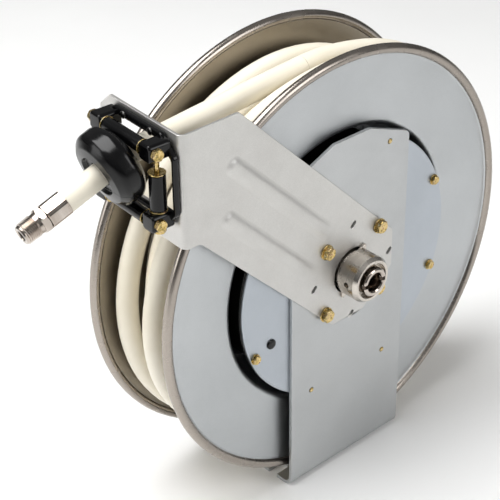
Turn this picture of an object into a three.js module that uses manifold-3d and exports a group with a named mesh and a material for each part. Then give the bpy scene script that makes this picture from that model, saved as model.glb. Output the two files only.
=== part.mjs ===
// Spring-rewind hose reel: a two-disc spool on a single bent-sheet stand, a spring case inside the drum,
// a swivel inlet on the axle, and a cantilevered arm that carries a four-roller hose guide.
// Millimetres, +Z up. The spool axis is parallel to X, the inlet is on the +X side and the hose leaves
// toward -Y. The origin is on the underside of the foot, below the middle of the spool.
import * as THREE from 'three';
import { mergeVertices } from 'three/addons/utils/BufferGeometryUtils.js';
import Module from 'manifold-3d';

const wasm = await Module();
wasm.setup();

// ---- driving dimensions ----
const AXIS_HEIGHT = 238;
const DISC_RADIUS = 229;
const BEAD_RADIUS = 5;
const SPOOL_WIDTH = 108.5;
const HALF_WIDTH = SPOOL_WIDTH / 2;
const DISC_SHEET = 2;
const DRUM_RADIUS = 148;
const LIP_RADIUS = 12;
const GAP = 0.3;

const STAND_SHEET = 4;
const STAND_HALF = 79;
const STAND_INNER = HALF_WIDTH + 9.6;
const STAND_OUTER = STAND_INNER + STAND_SHEET;
const STAND_BEND = 12;
const POST_TOP = 148;
const POST_SHOULDER = 126;
const POST_TOP_HALF = 24;
const FOOT_END = -75;
const SLOT_WIDTH = 11;
const SLOT_DEPTH = 20;
const SLOT_X = [-55, 39];

const CASE_RADIUS = 128;
const CASE_WALL = 2;
const CASE_BACK = 5;
const COVER_RADIUS = 140;
const COVER_SHEET = 2.5;
const COVER_OUTER = STAND_INNER - GAP;
const COVER_INNER = COVER_OUTER - COVER_SHEET;
const SCREW_CIRCLE = 134.4;
const COVER_SCREW_ANGLES = [22.5, 157.5, 202.5, 337.5];
const POST_SCREW_ANGLES = [67.5, 112.5, 247.5, 292.5];
const PLUG_CIRCLE = 112;
const PLUG_ANGLE = 203;

const ARM_SHEET = 3;
const ARM_INNER = STAND_OUTER + GAP;
const ARM_OUTER = ARM_INNER + ARM_SHEET;
const ARM_HALF = 57;
const ARM_BEND = 7;
const ARM_BOLT_CIRCLE = 51.5;
const ARM_CORNER_Y = -212;
const PLATE_TURN = THREE.MathUtils.degToRad(3.5);
const PLATE_LENGTH = 121;
const PLATE_TOP = 226;
const PLATE_BOTTOM = 113;
const RIB_WIDTH = 13;
const RIB_RISE = 2.5;

const BORE_RADIUS = 25;
const SHAFT_RADIUS = 15;
const COLLAR_RADIUS = 24.5;
const COLLAR_FRONT = HALF_WIDTH + 44.7;
const INLET_FRONT = HALF_WIDTH + 49;
const INLET_BORE = 10;

const GUIDE_S = 56;
const GUIDE_Z = 177.5;
const GUIDE_BASE = 6;
const CORNER_S = 37;
const CORNER_Z = 34.5;
const AXLE_RADIUS = 2.5;
const LEVEL_AXLE_OUT = 18.5;
const UPRIGHT_AXLE_OUT = 12.5;
const LEVEL_ROLLER = { radius: 6.75, length: 56 };
const UPRIGHT_ROLLER = { radius: 7.75, length: 38 };

const HOSE_RADIUS = 11;
const WINDING_RADIUS = 213;
const HOSE_TILT = THREE.MathUtils.degToRad(20);
const STOP_RADIUS = 37;
const STOP_HALF = 15;
const STOP_AT = { s: 56, out: 35, z: 187.35 };
const HOSE_END = 52;
const FERRULE_LENGTH = 21;

const QUARTERS = [45, 135, 225, 315];
const ARM_BOLT_HOLE = 4.3;
const COVER_SCREW_HOLE = 2.9;
const HUB_SCREW_CIRCLE = 45;
const HUB_SCREW_HOLE = 3.4;
const HUB_PLATE_BACK = -43;
const HUB_PLATE_FRONT = -40;
const RISER_X = -22;
const RATCHET_BACK = -6;
const RATCHET_FRONT = -1;
const PAWL_PIVOT = { y: -30, z: -58 };
const STOP_SCREW_REACH = 24;

// ---- materials ----
function standard(color, roughness, metalness) {
  return new THREE.MeshStandardMaterial({ color, roughness, metalness });
}
const discSteel = standard(0xb4b8ba, 0.45, 0.9);
const sheetSteel = standard(0xb9bab8, 0.5, 0.85);
const turnedSteel = standard(0xc4bfb8, 0.28, 1.0);
const zincYellow = standard(0xc9a24e, 0.35, 0.9);
const springSteel = standard(0x55575a, 0.4, 1.0);
const blackPlastic = standard(0x0c0c0d, 0.2, 0.0);
const brass = standard(0xb08d4a, 0.4, 1.0);
const hoseRubber = standard(0xeee6d3, 0.5, 0.0);

// ---- solids ----
function signedVolume(geometry) {
  const p = geometry.getAttribute('position');
  const index = geometry.getIndex();
  const a = new THREE.Vector3();
  const b = new THREE.Vector3();
  const c = new THREE.Vector3();
  let sum = 0;
  for (let i = 0; i < index.count; i += 3) {
    a.fromBufferAttribute(p, index.getX(i));
    b.fromBufferAttribute(p, index.getX(i + 1));
    c.fromBufferAttribute(p, index.getX(i + 2));
    sum += a.dot(b.cross(c));
  }
  return sum / 6;
}

// Shared vertices merged, slivers dropped and the faces turned outward.
function clean(source) {
  const bare = source.clone();
  bare.deleteAttribute('normal');
  bare.deleteAttribute('uv');
  const merged = mergeVertices(bare, 1e-4);
  const index = merged.getIndex();
  const kept = [];
  for (let i = 0; i < index.count; i += 3) {
    const [a, b, c] = [index.getX(i), index.getX(i + 1), index.getX(i + 2)];
    if (a !== b && b !== c && c !== a) {
      kept.push(a, b, c);
    }
  }
  merged.setIndex(kept);
  if (signedVolume(merged) < 0) {
    for (let i = 0; i < kept.length; i += 3) {
      [kept[i + 1], kept[i + 2]] = [kept[i + 2], kept[i + 1]];
    }
    merged.setIndex(kept);
  }
  return merged;
}

function toSolid(geometry) {
  const shell = clean(geometry);
  const vertProperties = new Float32Array(shell.getAttribute('position').array);
  const triVerts = new Uint32Array(shell.getIndex().array);
  return new wasm.Manifold(new wasm.Mesh({ numProp: 3, vertProperties, triVerts }));
}

function toGeometry(solid) {
  const mesh = solid.getMesh();
  const geometry = new THREE.BufferGeometry();
  geometry.setAttribute('position', new THREE.BufferAttribute(new Float32Array(mesh.vertProperties), 3));
  geometry.setIndex(Array.from(mesh.triVerts));
  return geometry;
}

function combine(base, joined, cut = []) {
  let solid = toSolid(base);
  for (const geometry of joined) {
    solid = solid.add(toSolid(geometry));
  }
  for (const geometry of cut) {
    solid = solid.subtract(toSolid(geometry));
  }
  return toGeometry(solid);
}

function part(name, geometry, material) {
  const shell = clean(geometry);
  shell.computeVertexNormals();
  const mesh = new THREE.Mesh(shell, material);
  mesh.name = name;
  return mesh;
}

// ---- shape helpers ----
function polar(radius, degrees) {
  const angle = THREE.MathUtils.degToRad(degrees);
  return new THREE.Vector2(radius * Math.cos(angle), radius * Math.sin(angle));
}

function arcPoints(centreX, centreY, radius, fromDegrees, toDegrees, steps) {
  const points = [];
  for (let i = 0; i <= steps; i += 1) {
    const spot = polar(radius, fromDegrees + ((toDegrees - fromDegrees) * i) / steps);
    points.push(new THREE.Vector2(centreX + spot.x, centreY + spot.y));
  }
  return points;
}

// A solid of revolution about the X axis, from a closed outline of [radius, x] pairs.
function turned(outline, segments) {
  const points = outline.map((p) => (p.isVector2 ? p.clone() : new THREE.Vector2(p[0], p[1])));
  points.push(points[0].clone());
  const geometry = new THREE.LatheGeometry(points, segments);
  geometry.rotateZ(-Math.PI / 2);
  return geometry;
}

// The same, from an outline that starts and ends on the axis.
function turnedOnAxis(outline, segments) {
  const geometry = new THREE.LatheGeometry(outline.map(([r, x]) => new THREE.Vector2(r, x)), segments);
  geometry.rotateZ(-Math.PI / 2);
  return geometry;
}

function ring(inner, outer, x0, x1, segments) {
  return turned([[inner, x0], [outer, x0], [outer, x1], [inner, x1]], segments);
}

// A cylinder along X between x0 and x1, its centre at (y, z).
function pinX(radius, x0, x1, y, z, segments) {
  const geometry = new THREE.CylinderGeometry(radius, radius, x1 - x0, segments);
  geometry.rotateZ(-Math.PI / 2);
  geometry.translate((x0 + x1) / 2, y, z);
  return geometry;
}

// A cylinder along Y between y0 and y1.
function pinY(radius, y0, y1, x, z, segments) {
  const geometry = new THREE.CylinderGeometry(radius, radius, y1 - y0, segments);
  geometry.translate(x, (y0 + y1) / 2, z);
  return geometry;
}

// A cylinder along Z between z0 and z1.
function pinZ(radius, z0, z1, x, y, segments) {
  const geometry = new THREE.CylinderGeometry(radius, radius, z1 - z0, segments);
  geometry.rotateX(Math.PI / 2);
  geometry.translate(x, y, (z0 + z1) / 2);
  return geometry;
}

function block(x0, x1, y0, y1, z0, z1) {
  const geometry = new THREE.BoxGeometry(x1 - x0, y1 - y0, z1 - z0);
  geometry.translate((x0 + x1) / 2, (y0 + y1) / 2, (z0 + z1) / 2);
  return geometry;
}

function shapeOf(points) {
  return new THREE.Shape(points.map((p) => (p.isVector2 ? p : new THREE.Vector2(p[0], p[1]))));
}

// A plate whose outline is drawn in (y, z), between x0 and x1.
function plateX(points, x0, x1) {
  const options = { depth: x1 - x0, bevelEnabled: false };
  const geometry = new THREE.ExtrudeGeometry(shapeOf(points), options);
  geometry.applyMatrix4(new THREE.Matrix4().set(0, 0, 1, x0, 1, 0, 0, 0, 0, 1, 0, 0, 0, 0, 0, 1));
  return geometry;
}

// A plate whose outline is drawn in (x, z), between y0 and y1.
function plateY(points, y0, y1) {
  const options = { depth: y1 - y0, bevelEnabled: false };
  const geometry = new THREE.ExtrudeGeometry(shapeOf(points), options);
  geometry.applyMatrix4(new THREE.Matrix4().set(1, 0, 0, 0, 0, 0, 1, y0, 0, 1, 0, 0, 0, 0, 0, 1));
  return geometry;
}

// A plate whose outline is drawn in (x, y), between z0 and z1.
function plateZ(points, z0, z1) {
  const geometry = new THREE.ExtrudeGeometry(shapeOf(points), { depth: z1 - z0, bevelEnabled: false });
  geometry.translate(0, 0, z0);
  return geometry;
}

// A rectangle centred on (cx, cy) with its four corners cut at 45 degrees.
function cutRectangle(cx, cy, halfX, halfY, cut) {
  const corners = [[1, -1], [1, 1], [-1, 1], [-1, -1]];
  const points = [];
  corners.forEach(([sx, sy], i) => {
    const alongX = [cx + sx * (halfX - cut), cy + sy * halfY];
    const alongY = [cx + sx * halfX, cy + sy * (halfY - cut)];
    points.push(...(i % 2 === 0 ? [alongX, alongY] : [alongY, alongX]));
  });
  return points;
}

function hexagon(cx, cy, acrossFlats) {
  const points = [];
  for (let i = 0; i < 6; i += 1) {
    const corner = polar(acrossFlats / Math.sqrt(3), 30 + 60 * i);
    points.push([cx + corner.x, cy + corner.y]);
  }
  return points;
}

function chamferedHex(cy, cz, acrossFlats, x0, x1) {
  const head = toSolid(plateX(hexagon(cy, cz, acrossFlats), x0, x1));
  const corner = acrossFlats / Math.sqrt(3);
  const cone = new THREE.CylinderGeometry(corner * 0.86, corner * 1.15, x1 - x0, 12);
  cone.rotateZ(-Math.PI / 2);
  cone.translate((x0 + x1) / 2, cy, cz);
  return toGeometry(head.intersect(toSolid(cone)));
}

// ---- stand: post and foot bent from one sheet ----
function makeStand() {
  const topZ = AXIS_HEIGHT + POST_TOP;
  const bendX = STAND_OUTER - STAND_BEND;
  const profile = [
    new THREE.Vector2(FOOT_END, 0),
    ...arcPoints(bendX, STAND_BEND, STAND_BEND, -90, 0, 6),
    new THREE.Vector2(STAND_OUTER, topZ),
    new THREE.Vector2(STAND_INNER, topZ),
    ...arcPoints(bendX, STAND_BEND, STAND_BEND - STAND_SHEET, 0, -90, 6),
    new THREE.Vector2(FOOT_END, STAND_SHEET),
  ];
  const sheet = plateY(profile, -STAND_HALF, STAND_HALF);
  const cuts = [pinX(BORE_RADIUS, STAND_INNER - 1, STAND_OUTER + 1, 0, AXIS_HEIGHT, 28)];
  for (const side of [-1, 1]) {
    const shoulder = [
      [side * POST_TOP_HALF, topZ],
      [side * (STAND_HALF + 1), AXIS_HEIGHT + POST_SHOULDER - 0.4],
      [side * (STAND_HALF + 1), topZ + 5],
      [side * POST_TOP_HALF, topZ + 5],
    ];
    cuts.push(plateX(shoulder, STAND_INNER - 1, STAND_OUTER + 1));
    for (const x of SLOT_X) {
      const end = side * (STAND_HALF - SLOT_DEPTH + SLOT_WIDTH / 2);
      const mouth = side * (STAND_HALF + 1);
      const [low, high] = [Math.min(end, mouth), Math.max(end, mouth)];
      cuts.push(block(x - SLOT_WIDTH / 2, x + SLOT_WIDTH / 2, low, high, -1, STAND_SHEET + 2));
      cuts.push(pinZ(SLOT_WIDTH / 2, -1, STAND_SHEET + 2, x, end, 16));
    }
  }
  for (const degrees of QUARTERS) {
    const spot = polar(ARM_BOLT_CIRCLE, degrees);
    cuts.push(pinX(ARM_BOLT_HOLE, STAND_INNER - 1, STAND_OUTER + 1, spot.x, AXIS_HEIGHT + spot.y, 12));
  }
  for (const degrees of POST_SCREW_ANGLES) {
    const spot = polar(SCREW_CIRCLE, degrees);
    cuts.push(pinX(COVER_SCREW_HOLE, STAND_INNER - 1, STAND_OUTER + 1, spot.x, AXIS_HEIGHT + spot.y, 10));
  }
  return part('stand', combine(sheet, [], cuts), sheetSteel);
}

// ---- spring case, its cover and the power spring ----
function screwHoles(x0, x1, angles) {
  return angles.map((degrees) => {
    const spot = polar(SCREW_CIRCLE, degrees);
    return pinX(COVER_SCREW_HOLE, x0, x1, spot.x, spot.y, 10);
  });
}

function makeSpringCase() {
  const mouth = COVER_INNER - GAP;
  const outline = [
    [24, CASE_BACK],
    [CASE_RADIUS, CASE_BACK],
    [CASE_RADIUS, mouth - CASE_WALL],
    [COVER_RADIUS, mouth - CASE_WALL],
    [COVER_RADIUS, mouth],
    [CASE_RADIUS - CASE_WALL, mouth],
    [CASE_RADIUS - CASE_WALL, CASE_BACK + CASE_WALL],
    [24, CASE_BACK + CASE_WALL],
  ];
  const holes = screwHoles(mouth - 4, mouth + 1, [...COVER_SCREW_ANGLES, ...POST_SCREW_ANGLES]);
  return part('spring_case', combine(turned(outline, 44), [], holes), sheetSteel);
}

function makeCover() {
  const disc = ring(BORE_RADIUS, COVER_RADIUS, COVER_INNER, COVER_OUTER, 48);
  const holes = screwHoles(COVER_INNER - 1, COVER_OUTER + 1, [...COVER_SCREW_ANGLES, ...POST_SCREW_ANGLES]);
  const plug = polar(PLUG_CIRCLE, PLUG_ANGLE);
  holes.push(pinX(4, COVER_INNER - 1, COVER_OUTER + 1, plug.x, plug.y, 12));
  return part('case_cover', combine(disc, [], holes), discSteel);
}

function makeCoverPlug() {
  const rim = COVER_OUTER + GAP;
  const back = COVER_INNER - 2;
  const outline = [[0, back], [3.6, back], [3.6, rim], [5.5, rim], [4.2, rim + 1.6], [0, rim + 2]];
  const geometry = turnedOnAxis(outline, 16);
  const spot = polar(PLUG_CIRCLE, PLUG_ANGLE);
  geometry.translate(0, spot.x, spot.y);
  return part('cover_plug', geometry, blackPlastic);
}

// A flat spiral ribbon, wound from the arbor out to the case wall.
function makePowerSpring() {
  const turns = 5;
  const stepsPerTurn = 16;
  const inner = 24;
  const outer = 121;
  const ribbon = 1.6;
  const count = turns * stepsPerTurn;
  const face = [];
  const back = [];
  for (let i = 0; i <= count; i += 1) {
    const angle = (360 * i) / stepsPerTurn;
    const radius = inner + ((outer - inner) * i) / count;
    face.push(polar(radius + ribbon, angle));
    back.push(polar(radius, angle));
  }
  return part('power_spring', plateX([...face, ...back.reverse()], 12, 52), springSteel);
}

// ---- fasteners ----
function makeCoverScrew(number, degrees) {
  const spot = polar(SCREW_CIRCLE, degrees);
  const under = COVER_OUTER + GAP;
  const head = chamferedHex(spot.x, spot.y, 10, under, under + 3.6);
  const shank = pinX(2.5, COVER_INNER - 5, under + 1, spot.x, spot.y, 10);
  return part(`cover_screw_${number}`, combine(head, [shank]), zincYellow);
}

// The screws behind the post end in a low dome on its face, and flush where the arm lies over them.
function makePostScrew(number, degrees) {
  const spot = polar(SCREW_CIRCLE, degrees);
  const underArm = Math.abs(spot.x + spot.y) < ARM_HALF * Math.SQRT2 && spot.y > spot.x;
  const rise = underArm ? 0.05 : 1.3;
  const back = COVER_INNER - 5;
  const top = STAND_OUTER + rise;
  const geometry = turnedOnAxis([[0, back], [2.5, back], [2.5, STAND_OUTER], [1.6, top], [0, top]], 12);
  geometry.translate(0, spot.x, spot.y);
  return part(`post_screw_${number}`, geometry, zincYellow);
}

function makeArmBolt(number, degrees) {
  const spot = polar(ARM_BOLT_CIRCLE, degrees);
  const under = ARM_OUTER + GAP;
  const head = chamferedHex(spot.x, spot.y, 12.5, under + 1.2, under + 6);
  const washer = pinX(8, under, under + 1.4, spot.x, spot.y, 20);
  const shank = pinX(4, STAND_INNER, under + 2, spot.x, spot.y, 12);
  return part(`arm_bolt_${number}`, combine(head, [washer, shank]), zincYellow);
}

// ---- guide arm: a flat side leg, a bend and the front plate that carries the guide ----
// The front plate's own directions: s runs along it away from the bend, out is its outward normal.
const plateMatrix = new THREE.Matrix4()
  .makeRotationZ(Math.PI - PLATE_TURN)
  .setPosition(ARM_OUTER, ARM_CORNER_Y, 0);

function onPlate(s, out, z) {
  return new THREE.Vector3(s, out, z).applyMatrix4(plateMatrix);
}

function bendSection() {
  const centreY = ARM_CORNER_Y + (ARM_BEND * (1 + Math.sin(PLATE_TURN))) / Math.cos(PLATE_TURN);
  const turn = -90 - THREE.MathUtils.radToDeg(PLATE_TURN);
  const centreX = ARM_OUTER - ARM_BEND;
  const outerEnd = onPlate(PLATE_LENGTH, 0, 0);
  const innerEnd = onPlate(PLATE_LENGTH, -ARM_SHEET, 0);
  return [
    new THREE.Vector2(ARM_OUTER, -188),
    ...arcPoints(centreX, centreY, ARM_BEND, 0, turn, 6),
    new THREE.Vector2(outerEnd.x, outerEnd.y),
    new THREE.Vector2(innerEnd.x, innerEnd.y),
    ...arcPoints(centreX, centreY, ARM_BEND - ARM_SHEET, turn, 0, 6),
    new THREE.Vector2(ARM_INNER, -188),
  ];
}

// A rounded pressed rib along the arm, with its middle line at offset from the arm's middle.
function armRib(offset, from, to, halfWidth, x0, x1) {
  const outline = [
    ...arcPoints(to, offset, halfWidth, -90, 90, 5),
    ...arcPoints(from, offset, halfWidth, 90, 270, 5),
  ];
  const slope = x1 - x0;
  const core = 0.2;
  const bevel = { bevelEnabled: true, bevelThickness: slope, bevelSize: slope, bevelSegments: 1 };
  const geometry = new THREE.ExtrudeGeometry(shapeOf(outline), { depth: core, ...bevel });
  geometry.translate(0, 0, -core / 2);
  // The arm rises toward -Y at 45 degrees.
  const along = new THREE.Vector3(0, -Math.SQRT1_2, Math.SQRT1_2);
  const across = new THREE.Vector3(0, Math.SQRT1_2, Math.SQRT1_2);
  const basis = new THREE.Matrix4().makeBasis(along, across, new THREE.Vector3(-1, 0, 0));
  geometry.applyMatrix4(basis);
  geometry.translate(x0, 0, 0);
  return geometry;
}

function makeGuideArm() {
  const diagonal = ARM_HALF * Math.SQRT2;
  const side = [
    [-190, PLATE_TOP],
    [diagonal - PLATE_TOP - 1, PLATE_TOP + 1],
    [57, diagonal - 57],
    [57, -18],
    [17, -54],
    [54 - diagonal, -54],
    [-190, 190 - diagonal],
  ];
  const sideLeg = plateX(side, ARM_INNER, ARM_OUTER);
  const bend = plateZ(bendSection(), PLATE_BOTTOM, PLATE_TOP);
  const ribs = [armRib(16, 60, 232, RIB_WIDTH / 2 - RIB_RISE, ARM_OUTER, ARM_OUTER + RIB_RISE)];
  ribs.push(armRib(-26, 58, 200, RIB_WIDTH / 2 - RIB_RISE, ARM_OUTER, ARM_OUTER + RIB_RISE));
  const cuts = [armRib(16, 60, 232, RIB_WIDTH / 2 - 4, ARM_INNER, ARM_INNER + 2)];
  cuts.push(armRib(-26, 58, 200, RIB_WIDTH / 2 - 4, ARM_INNER, ARM_INNER + 2));
  cuts.push(pinX(BORE_RADIUS, ARM_INNER - 1, ARM_OUTER + 1, 0, 0, 28));
  for (const degrees of QUARTERS) {
    const bolt = polar(ARM_BOLT_CIRCLE, degrees);
    cuts.push(pinX(ARM_BOLT_HOLE, ARM_INNER - 1, ARM_OUTER + 1, bolt.x, bolt.y, 12));
    const slot = polar(ARM_BOLT_CIRCLE + 1, degrees - 45);
    cuts.push(plateX(cutRectangle(slot.x, slot.y, 2.2, 4.4, 1.4), ARM_INNER - 1, ARM_OUTER + 1));
  }
  const opening = plateY(cutRectangle(GUIDE_S, GUIDE_Z, 46, 36, 12), -ARM_SHEET - 3, 3);
  const corners = [[1, PLATE_TOP], [-1, PLATE_BOTTOM]].map(([up, edge]) => {
    const end = PLATE_LENGTH + 1;
    return plateY([[end - 18, edge + up], [end, edge - up * 15], [end, edge + up]], -ARM_SHEET - 3, 3);
  });
  for (const cutter of [opening, ...corners]) {
    cuts.push(cutter.applyMatrix4(plateMatrix));
  }
  return part('guide_arm', combine(sideLeg, [bend, ...ribs], cuts), sheetSteel);
}

// ---- axle, bearings and swivel inlet ----
function makeBearingFlange() {
  const face = ARM_OUTER + GAP;
  const outline = [
    [SHAFT_RADIUS + GAP, COVER_INNER - 2],
    [BORE_RADIUS - GAP, COVER_INNER - 2],
    [BORE_RADIUS - GAP, face],
    [28, face],
    [28, face + 2.6],
    [SHAFT_RADIUS + GAP, face + 2.6],
  ];
  return part('bearing_flange', turned(outline, 28), zincYellow);
}

function makeCaseBushing() {
  const outline = [
    [SHAFT_RADIUS + GAP, CASE_BACK - 1.5],
    [23.7, CASE_BACK - 1.5],
    [23.7, CASE_BACK + CASE_WALL + GAP],
    [28, CASE_BACK + CASE_WALL + GAP],
    [28, CASE_BACK + CASE_WALL + 2.3],
    [SHAFT_RADIUS + GAP, CASE_BACK + CASE_WALL + 2.3],
  ];
  return part('case_bushing', turned(outline, 22), brass);
}

function makeShaft() {
  const front = ARM_OUTER + 8.5;
  const bore = [[0, -30], [8, -30], [8, front]];
  const outline = [...bore, [SHAFT_RADIUS, front], [SHAFT_RADIUS, -58], [12, -60], [0, -60]];
  const crossHole = pinZ(7, 0, SHAFT_RADIUS + 2, RISER_X, 0, 14);
  return part('axle_shaft', combine(turnedOnAxis(outline, 22), [], [crossHole]), turnedSteel);
}

function makeSwivelCollar() {
  const back = ARM_OUTER + 3.6;
  const outline = [
    [SHAFT_RADIUS + GAP, back],
    [COLLAR_RADIUS - 1, back],
    [COLLAR_RADIUS, back + 1],
    [COLLAR_RADIUS, COLLAR_FRONT - 2.6],
    [COLLAR_RADIUS - 2.6, COLLAR_FRONT],
    [19.5, COLLAR_FRONT],
    [18.8, COLLAR_FRONT - 6],
    [SHAFT_RADIUS + GAP, COLLAR_FRONT - 6],
  ];
  const middle = (back + COLLAR_FRONT) / 2;
  const spannerHoles = [0, 1, 2].map((i) => {
    const hole = pinY(2.6, COLLAR_RADIUS - 5, COLLAR_RADIUS + 2, middle, 0, 12);
    hole.rotateX(Math.PI - (i * 2 * Math.PI) / 3);
    return hole;
  });
  return part('swivel_collar', combine(turned(outline, 28), [], spannerHoles), turnedSteel);
}

function makeInletTube() {
  const back = ARM_OUTER + 8.8;
  const outline = [
    [INLET_BORE - 2, back],
    [SHAFT_RADIUS, back],
    [SHAFT_RADIUS, INLET_FRONT - 1],
    [SHAFT_RADIUS - 1, INLET_FRONT],
    [INLET_BORE + 1, INLET_FRONT],
    [INLET_BORE, INLET_FRONT - 1],
    [INLET_BORE - 0.6, back + 6],
    [INLET_BORE - 2, back + 6],
  ];
  const slot = block(INLET_FRONT - 4, INLET_FRONT + 2, -20, 20, -2.2, 2.2);
  return part('inlet_tube', combine(turned(outline, 24), [], [slot]), turnedSteel);
}

// ---- spool: two pressed halves, each a disc with a rolled rim and half of the drum ----
function pressedHalf() {
  const beadCentre = DISC_RADIUS - BEAD_RADIUS;
  const inner = DRUM_RADIUS - DISC_SHEET;
  const lipCentre = DRUM_RADIUS + LIP_RADIUS;
  const webAngle = THREE.MathUtils.radToDeg(Math.asin(DISC_SHEET / BEAD_RADIUS));
  const lipX = HALF_WIDTH - DISC_SHEET - LIP_RADIUS;
  return [
    ...arcPoints(beadCentre, HALF_WIDTH, BEAD_RADIUS, 180, -180 + webAngle, 8),
    ...arcPoints(lipCentre, lipX, LIP_RADIUS, 90, 180, 3),
    new THREE.Vector2(DRUM_RADIUS, GAP / 2),
    new THREE.Vector2(inner, GAP / 2),
    ...arcPoints(lipCentre, lipX, LIP_RADIUS + DISC_SHEET, 180, 90, 3),
  ];
}

function makeNearDisc() {
  return part('near_disc', turned(pressedHalf(), 48), discSteel);
}

function makeFarDisc() {
  const shell = turned(pressedHalf(), 48);
  shell.scale(-1, 1, 1);
  const outlet = pinZ(12, DRUM_RADIUS - 10, DRUM_RADIUS + 4, RISER_X, 0, 16);
  return part('far_disc', combine(shell, [], [outlet]), discSteel);
}

function makeHubPlate() {
  const plate = ring(32, DRUM_RADIUS - DISC_SHEET - GAP, HUB_PLATE_BACK, HUB_PLATE_FRONT, 44);
  const holes = QUARTERS.map((degrees) => {
    const spot = polar(HUB_SCREW_CIRCLE, degrees);
    return pinX(HUB_SCREW_HOLE, HUB_PLATE_BACK - 1, HUB_PLATE_FRONT + 1, spot.x, spot.y, 10);
  });
  return part('hub_plate', combine(plate, [], holes), discSteel);
}

function makeHub() {
  const flange = HUB_PLATE_BACK - GAP;
  const outline = [
    [SHAFT_RADIUS + GAP, HUB_PLATE_FRONT + 1],
    [32 - GAP, HUB_PLATE_FRONT + 1],
    [32 - GAP, flange],
    [55, flange],
    [55, flange - 2.7],
    [27, flange - 2.7],
    [25, flange - 13.7],
    [SHAFT_RADIUS + GAP, flange - 13.7],
  ];
  const holes = QUARTERS.map((degrees) => {
    const spot = polar(HUB_SCREW_CIRCLE, degrees);
    return pinX(HUB_SCREW_HOLE, flange - 4, flange + 1, spot.x, spot.y, 10);
  });
  return part('hub', combine(turned(outline, 24), [], holes), turnedSteel);
}

function makeHubScrew(number, degrees) {
  const spot = polar(HUB_SCREW_CIRCLE, degrees);
  const under = HUB_PLATE_BACK - 3 - GAP;
  const head = plateX(hexagon(spot.x, spot.y, 10), under - 4, under);
  const shank = pinX(3, under - 1, HUB_PLATE_FRONT + 2, spot.x, spot.y, 10);
  return part(`hub_screw_${number}`, combine(head, [shank]), zincYellow);
}

function makeArbor() {
  return part('spring_arbor', ring(SHAFT_RADIUS + GAP, 21, 11, 54, 28), springSteel);
}

function makeRatchetWheel() {
  const teeth = 12;
  const points = [];
  for (let i = 0; i < teeth; i += 1) {
    points.push(polar(44, (360 * i) / teeth), polar(36, (360 * (i + 0.12)) / teeth));
  }
  const wheel = plateX(points, RATCHET_BACK, RATCHET_FRONT);
  const bore = pinX(SHAFT_RADIUS + GAP, RATCHET_BACK - 2, RATCHET_FRONT + 2, 0, 0, 28);
  return part('ratchet_wheel', combine(wheel, [], [bore]), springSteel);
}

function makePawl() {
  const finger = [[-5, 6], [-4, -5], [4, -6], [24, 3], [26, 11], [19, 6]];
  const arm = plateX(finger, RATCHET_BACK, RATCHET_FRONT);
  const boss = pinX(7, RATCHET_BACK, RATCHET_FRONT, 0, 0, 16);
  const pawl = combine(arm, [boss], [pinX(4, RATCHET_BACK - 2, RATCHET_FRONT + 2, 0, 0, 14)]);
  pawl.translate(0, PAWL_PIVOT.y, PAWL_PIVOT.z);
  return part('pawl', pawl, springSteel);
}

function makePawlPin() {
  const [tail, top] = [RATCHET_BACK - 2.6, CASE_BACK - GAP];
  const [low, high] = [RATCHET_BACK - 0.4, RATCHET_FRONT + 0.4];
  const neck = [[5.6, low], [3.6, low], [3.6, high], [5.6, high]];
  const outline = [[0, tail], [5.6, tail], ...neck, [5.6, top], [0, top]];
  const pin = turnedOnAxis(outline, 14);
  pin.translate(0, PAWL_PIVOT.y, PAWL_PIVOT.z);
  return part('pawl_pin', pin, turnedSteel);
}

function makeOutletRiser() {
  const outline = [
    [6, SHAFT_RADIUS + 1.2],
    [13, SHAFT_RADIUS + 1.2],
    [13, 30],
    [9.5, 32],
    [9.5, 118],
    [11.5, 120],
    [11.5, DRUM_RADIUS - 0.4],
    [7, DRUM_RADIUS - 0.4],
  ];
  const pipe = turned(outline, 20);
  pipe.rotateY(-Math.PI / 2);
  pipe.translate(RISER_X, 0, 0);
  return part('outlet_riser', pipe, turnedSteel);
}

// ---- hose ----
// The outer shape of the wound layers, rounded where the discs turn into the drum.
function makeWinding() {
  const half = HALF_WIDTH - DISC_SHEET - 0.6;
  const inner = DRUM_RADIUS + 0.6;
  const outline = [
    [inner, -half + LIP_RADIUS + 2],
    [inner, half - LIP_RADIUS - 2],
    [inner + 4, half - 4],
    [inner + LIP_RADIUS + 2, half],
    [WINDING_RADIUS - 8, half],
    [WINDING_RADIUS, half - 8],
    [WINDING_RADIUS, -half + 8],
    [WINDING_RADIUS - 8, -half],
    [inner + LIP_RADIUS + 2, -half],
    [inner + 4, -half + 4],
  ];
  return part('hose_winding', turned(outline, 44), hoseRubber);
}

// The pulled end of the hose: out of the guide, through the stop and down to the ferrule.
const stopCentre = onPlate(STOP_AT.s, STOP_AT.out, STOP_AT.z);
const hoseAim = onPlate(0, 1, 0).sub(onPlate(0, 0, 0)).multiplyScalar(Math.cos(HOSE_TILT));
hoseAim.z = -Math.sin(HOSE_TILT);

function alongHose(distance) {
  return stopCentre.clone().addScaledVector(hoseAim, distance);
}

// Turns a solid made about the X axis to lie along the hose, with x = 0 at the stop's middle.
function layOnHose(geometry) {
  const turn = new THREE.Quaternion().setFromUnitVectors(new THREE.Vector3(1, 0, 0), hoseAim);
  geometry.applyQuaternion(turn);
  geometry.translate(stopCentre.x, stopCentre.y, stopCentre.z);
  return geometry;
}

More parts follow.
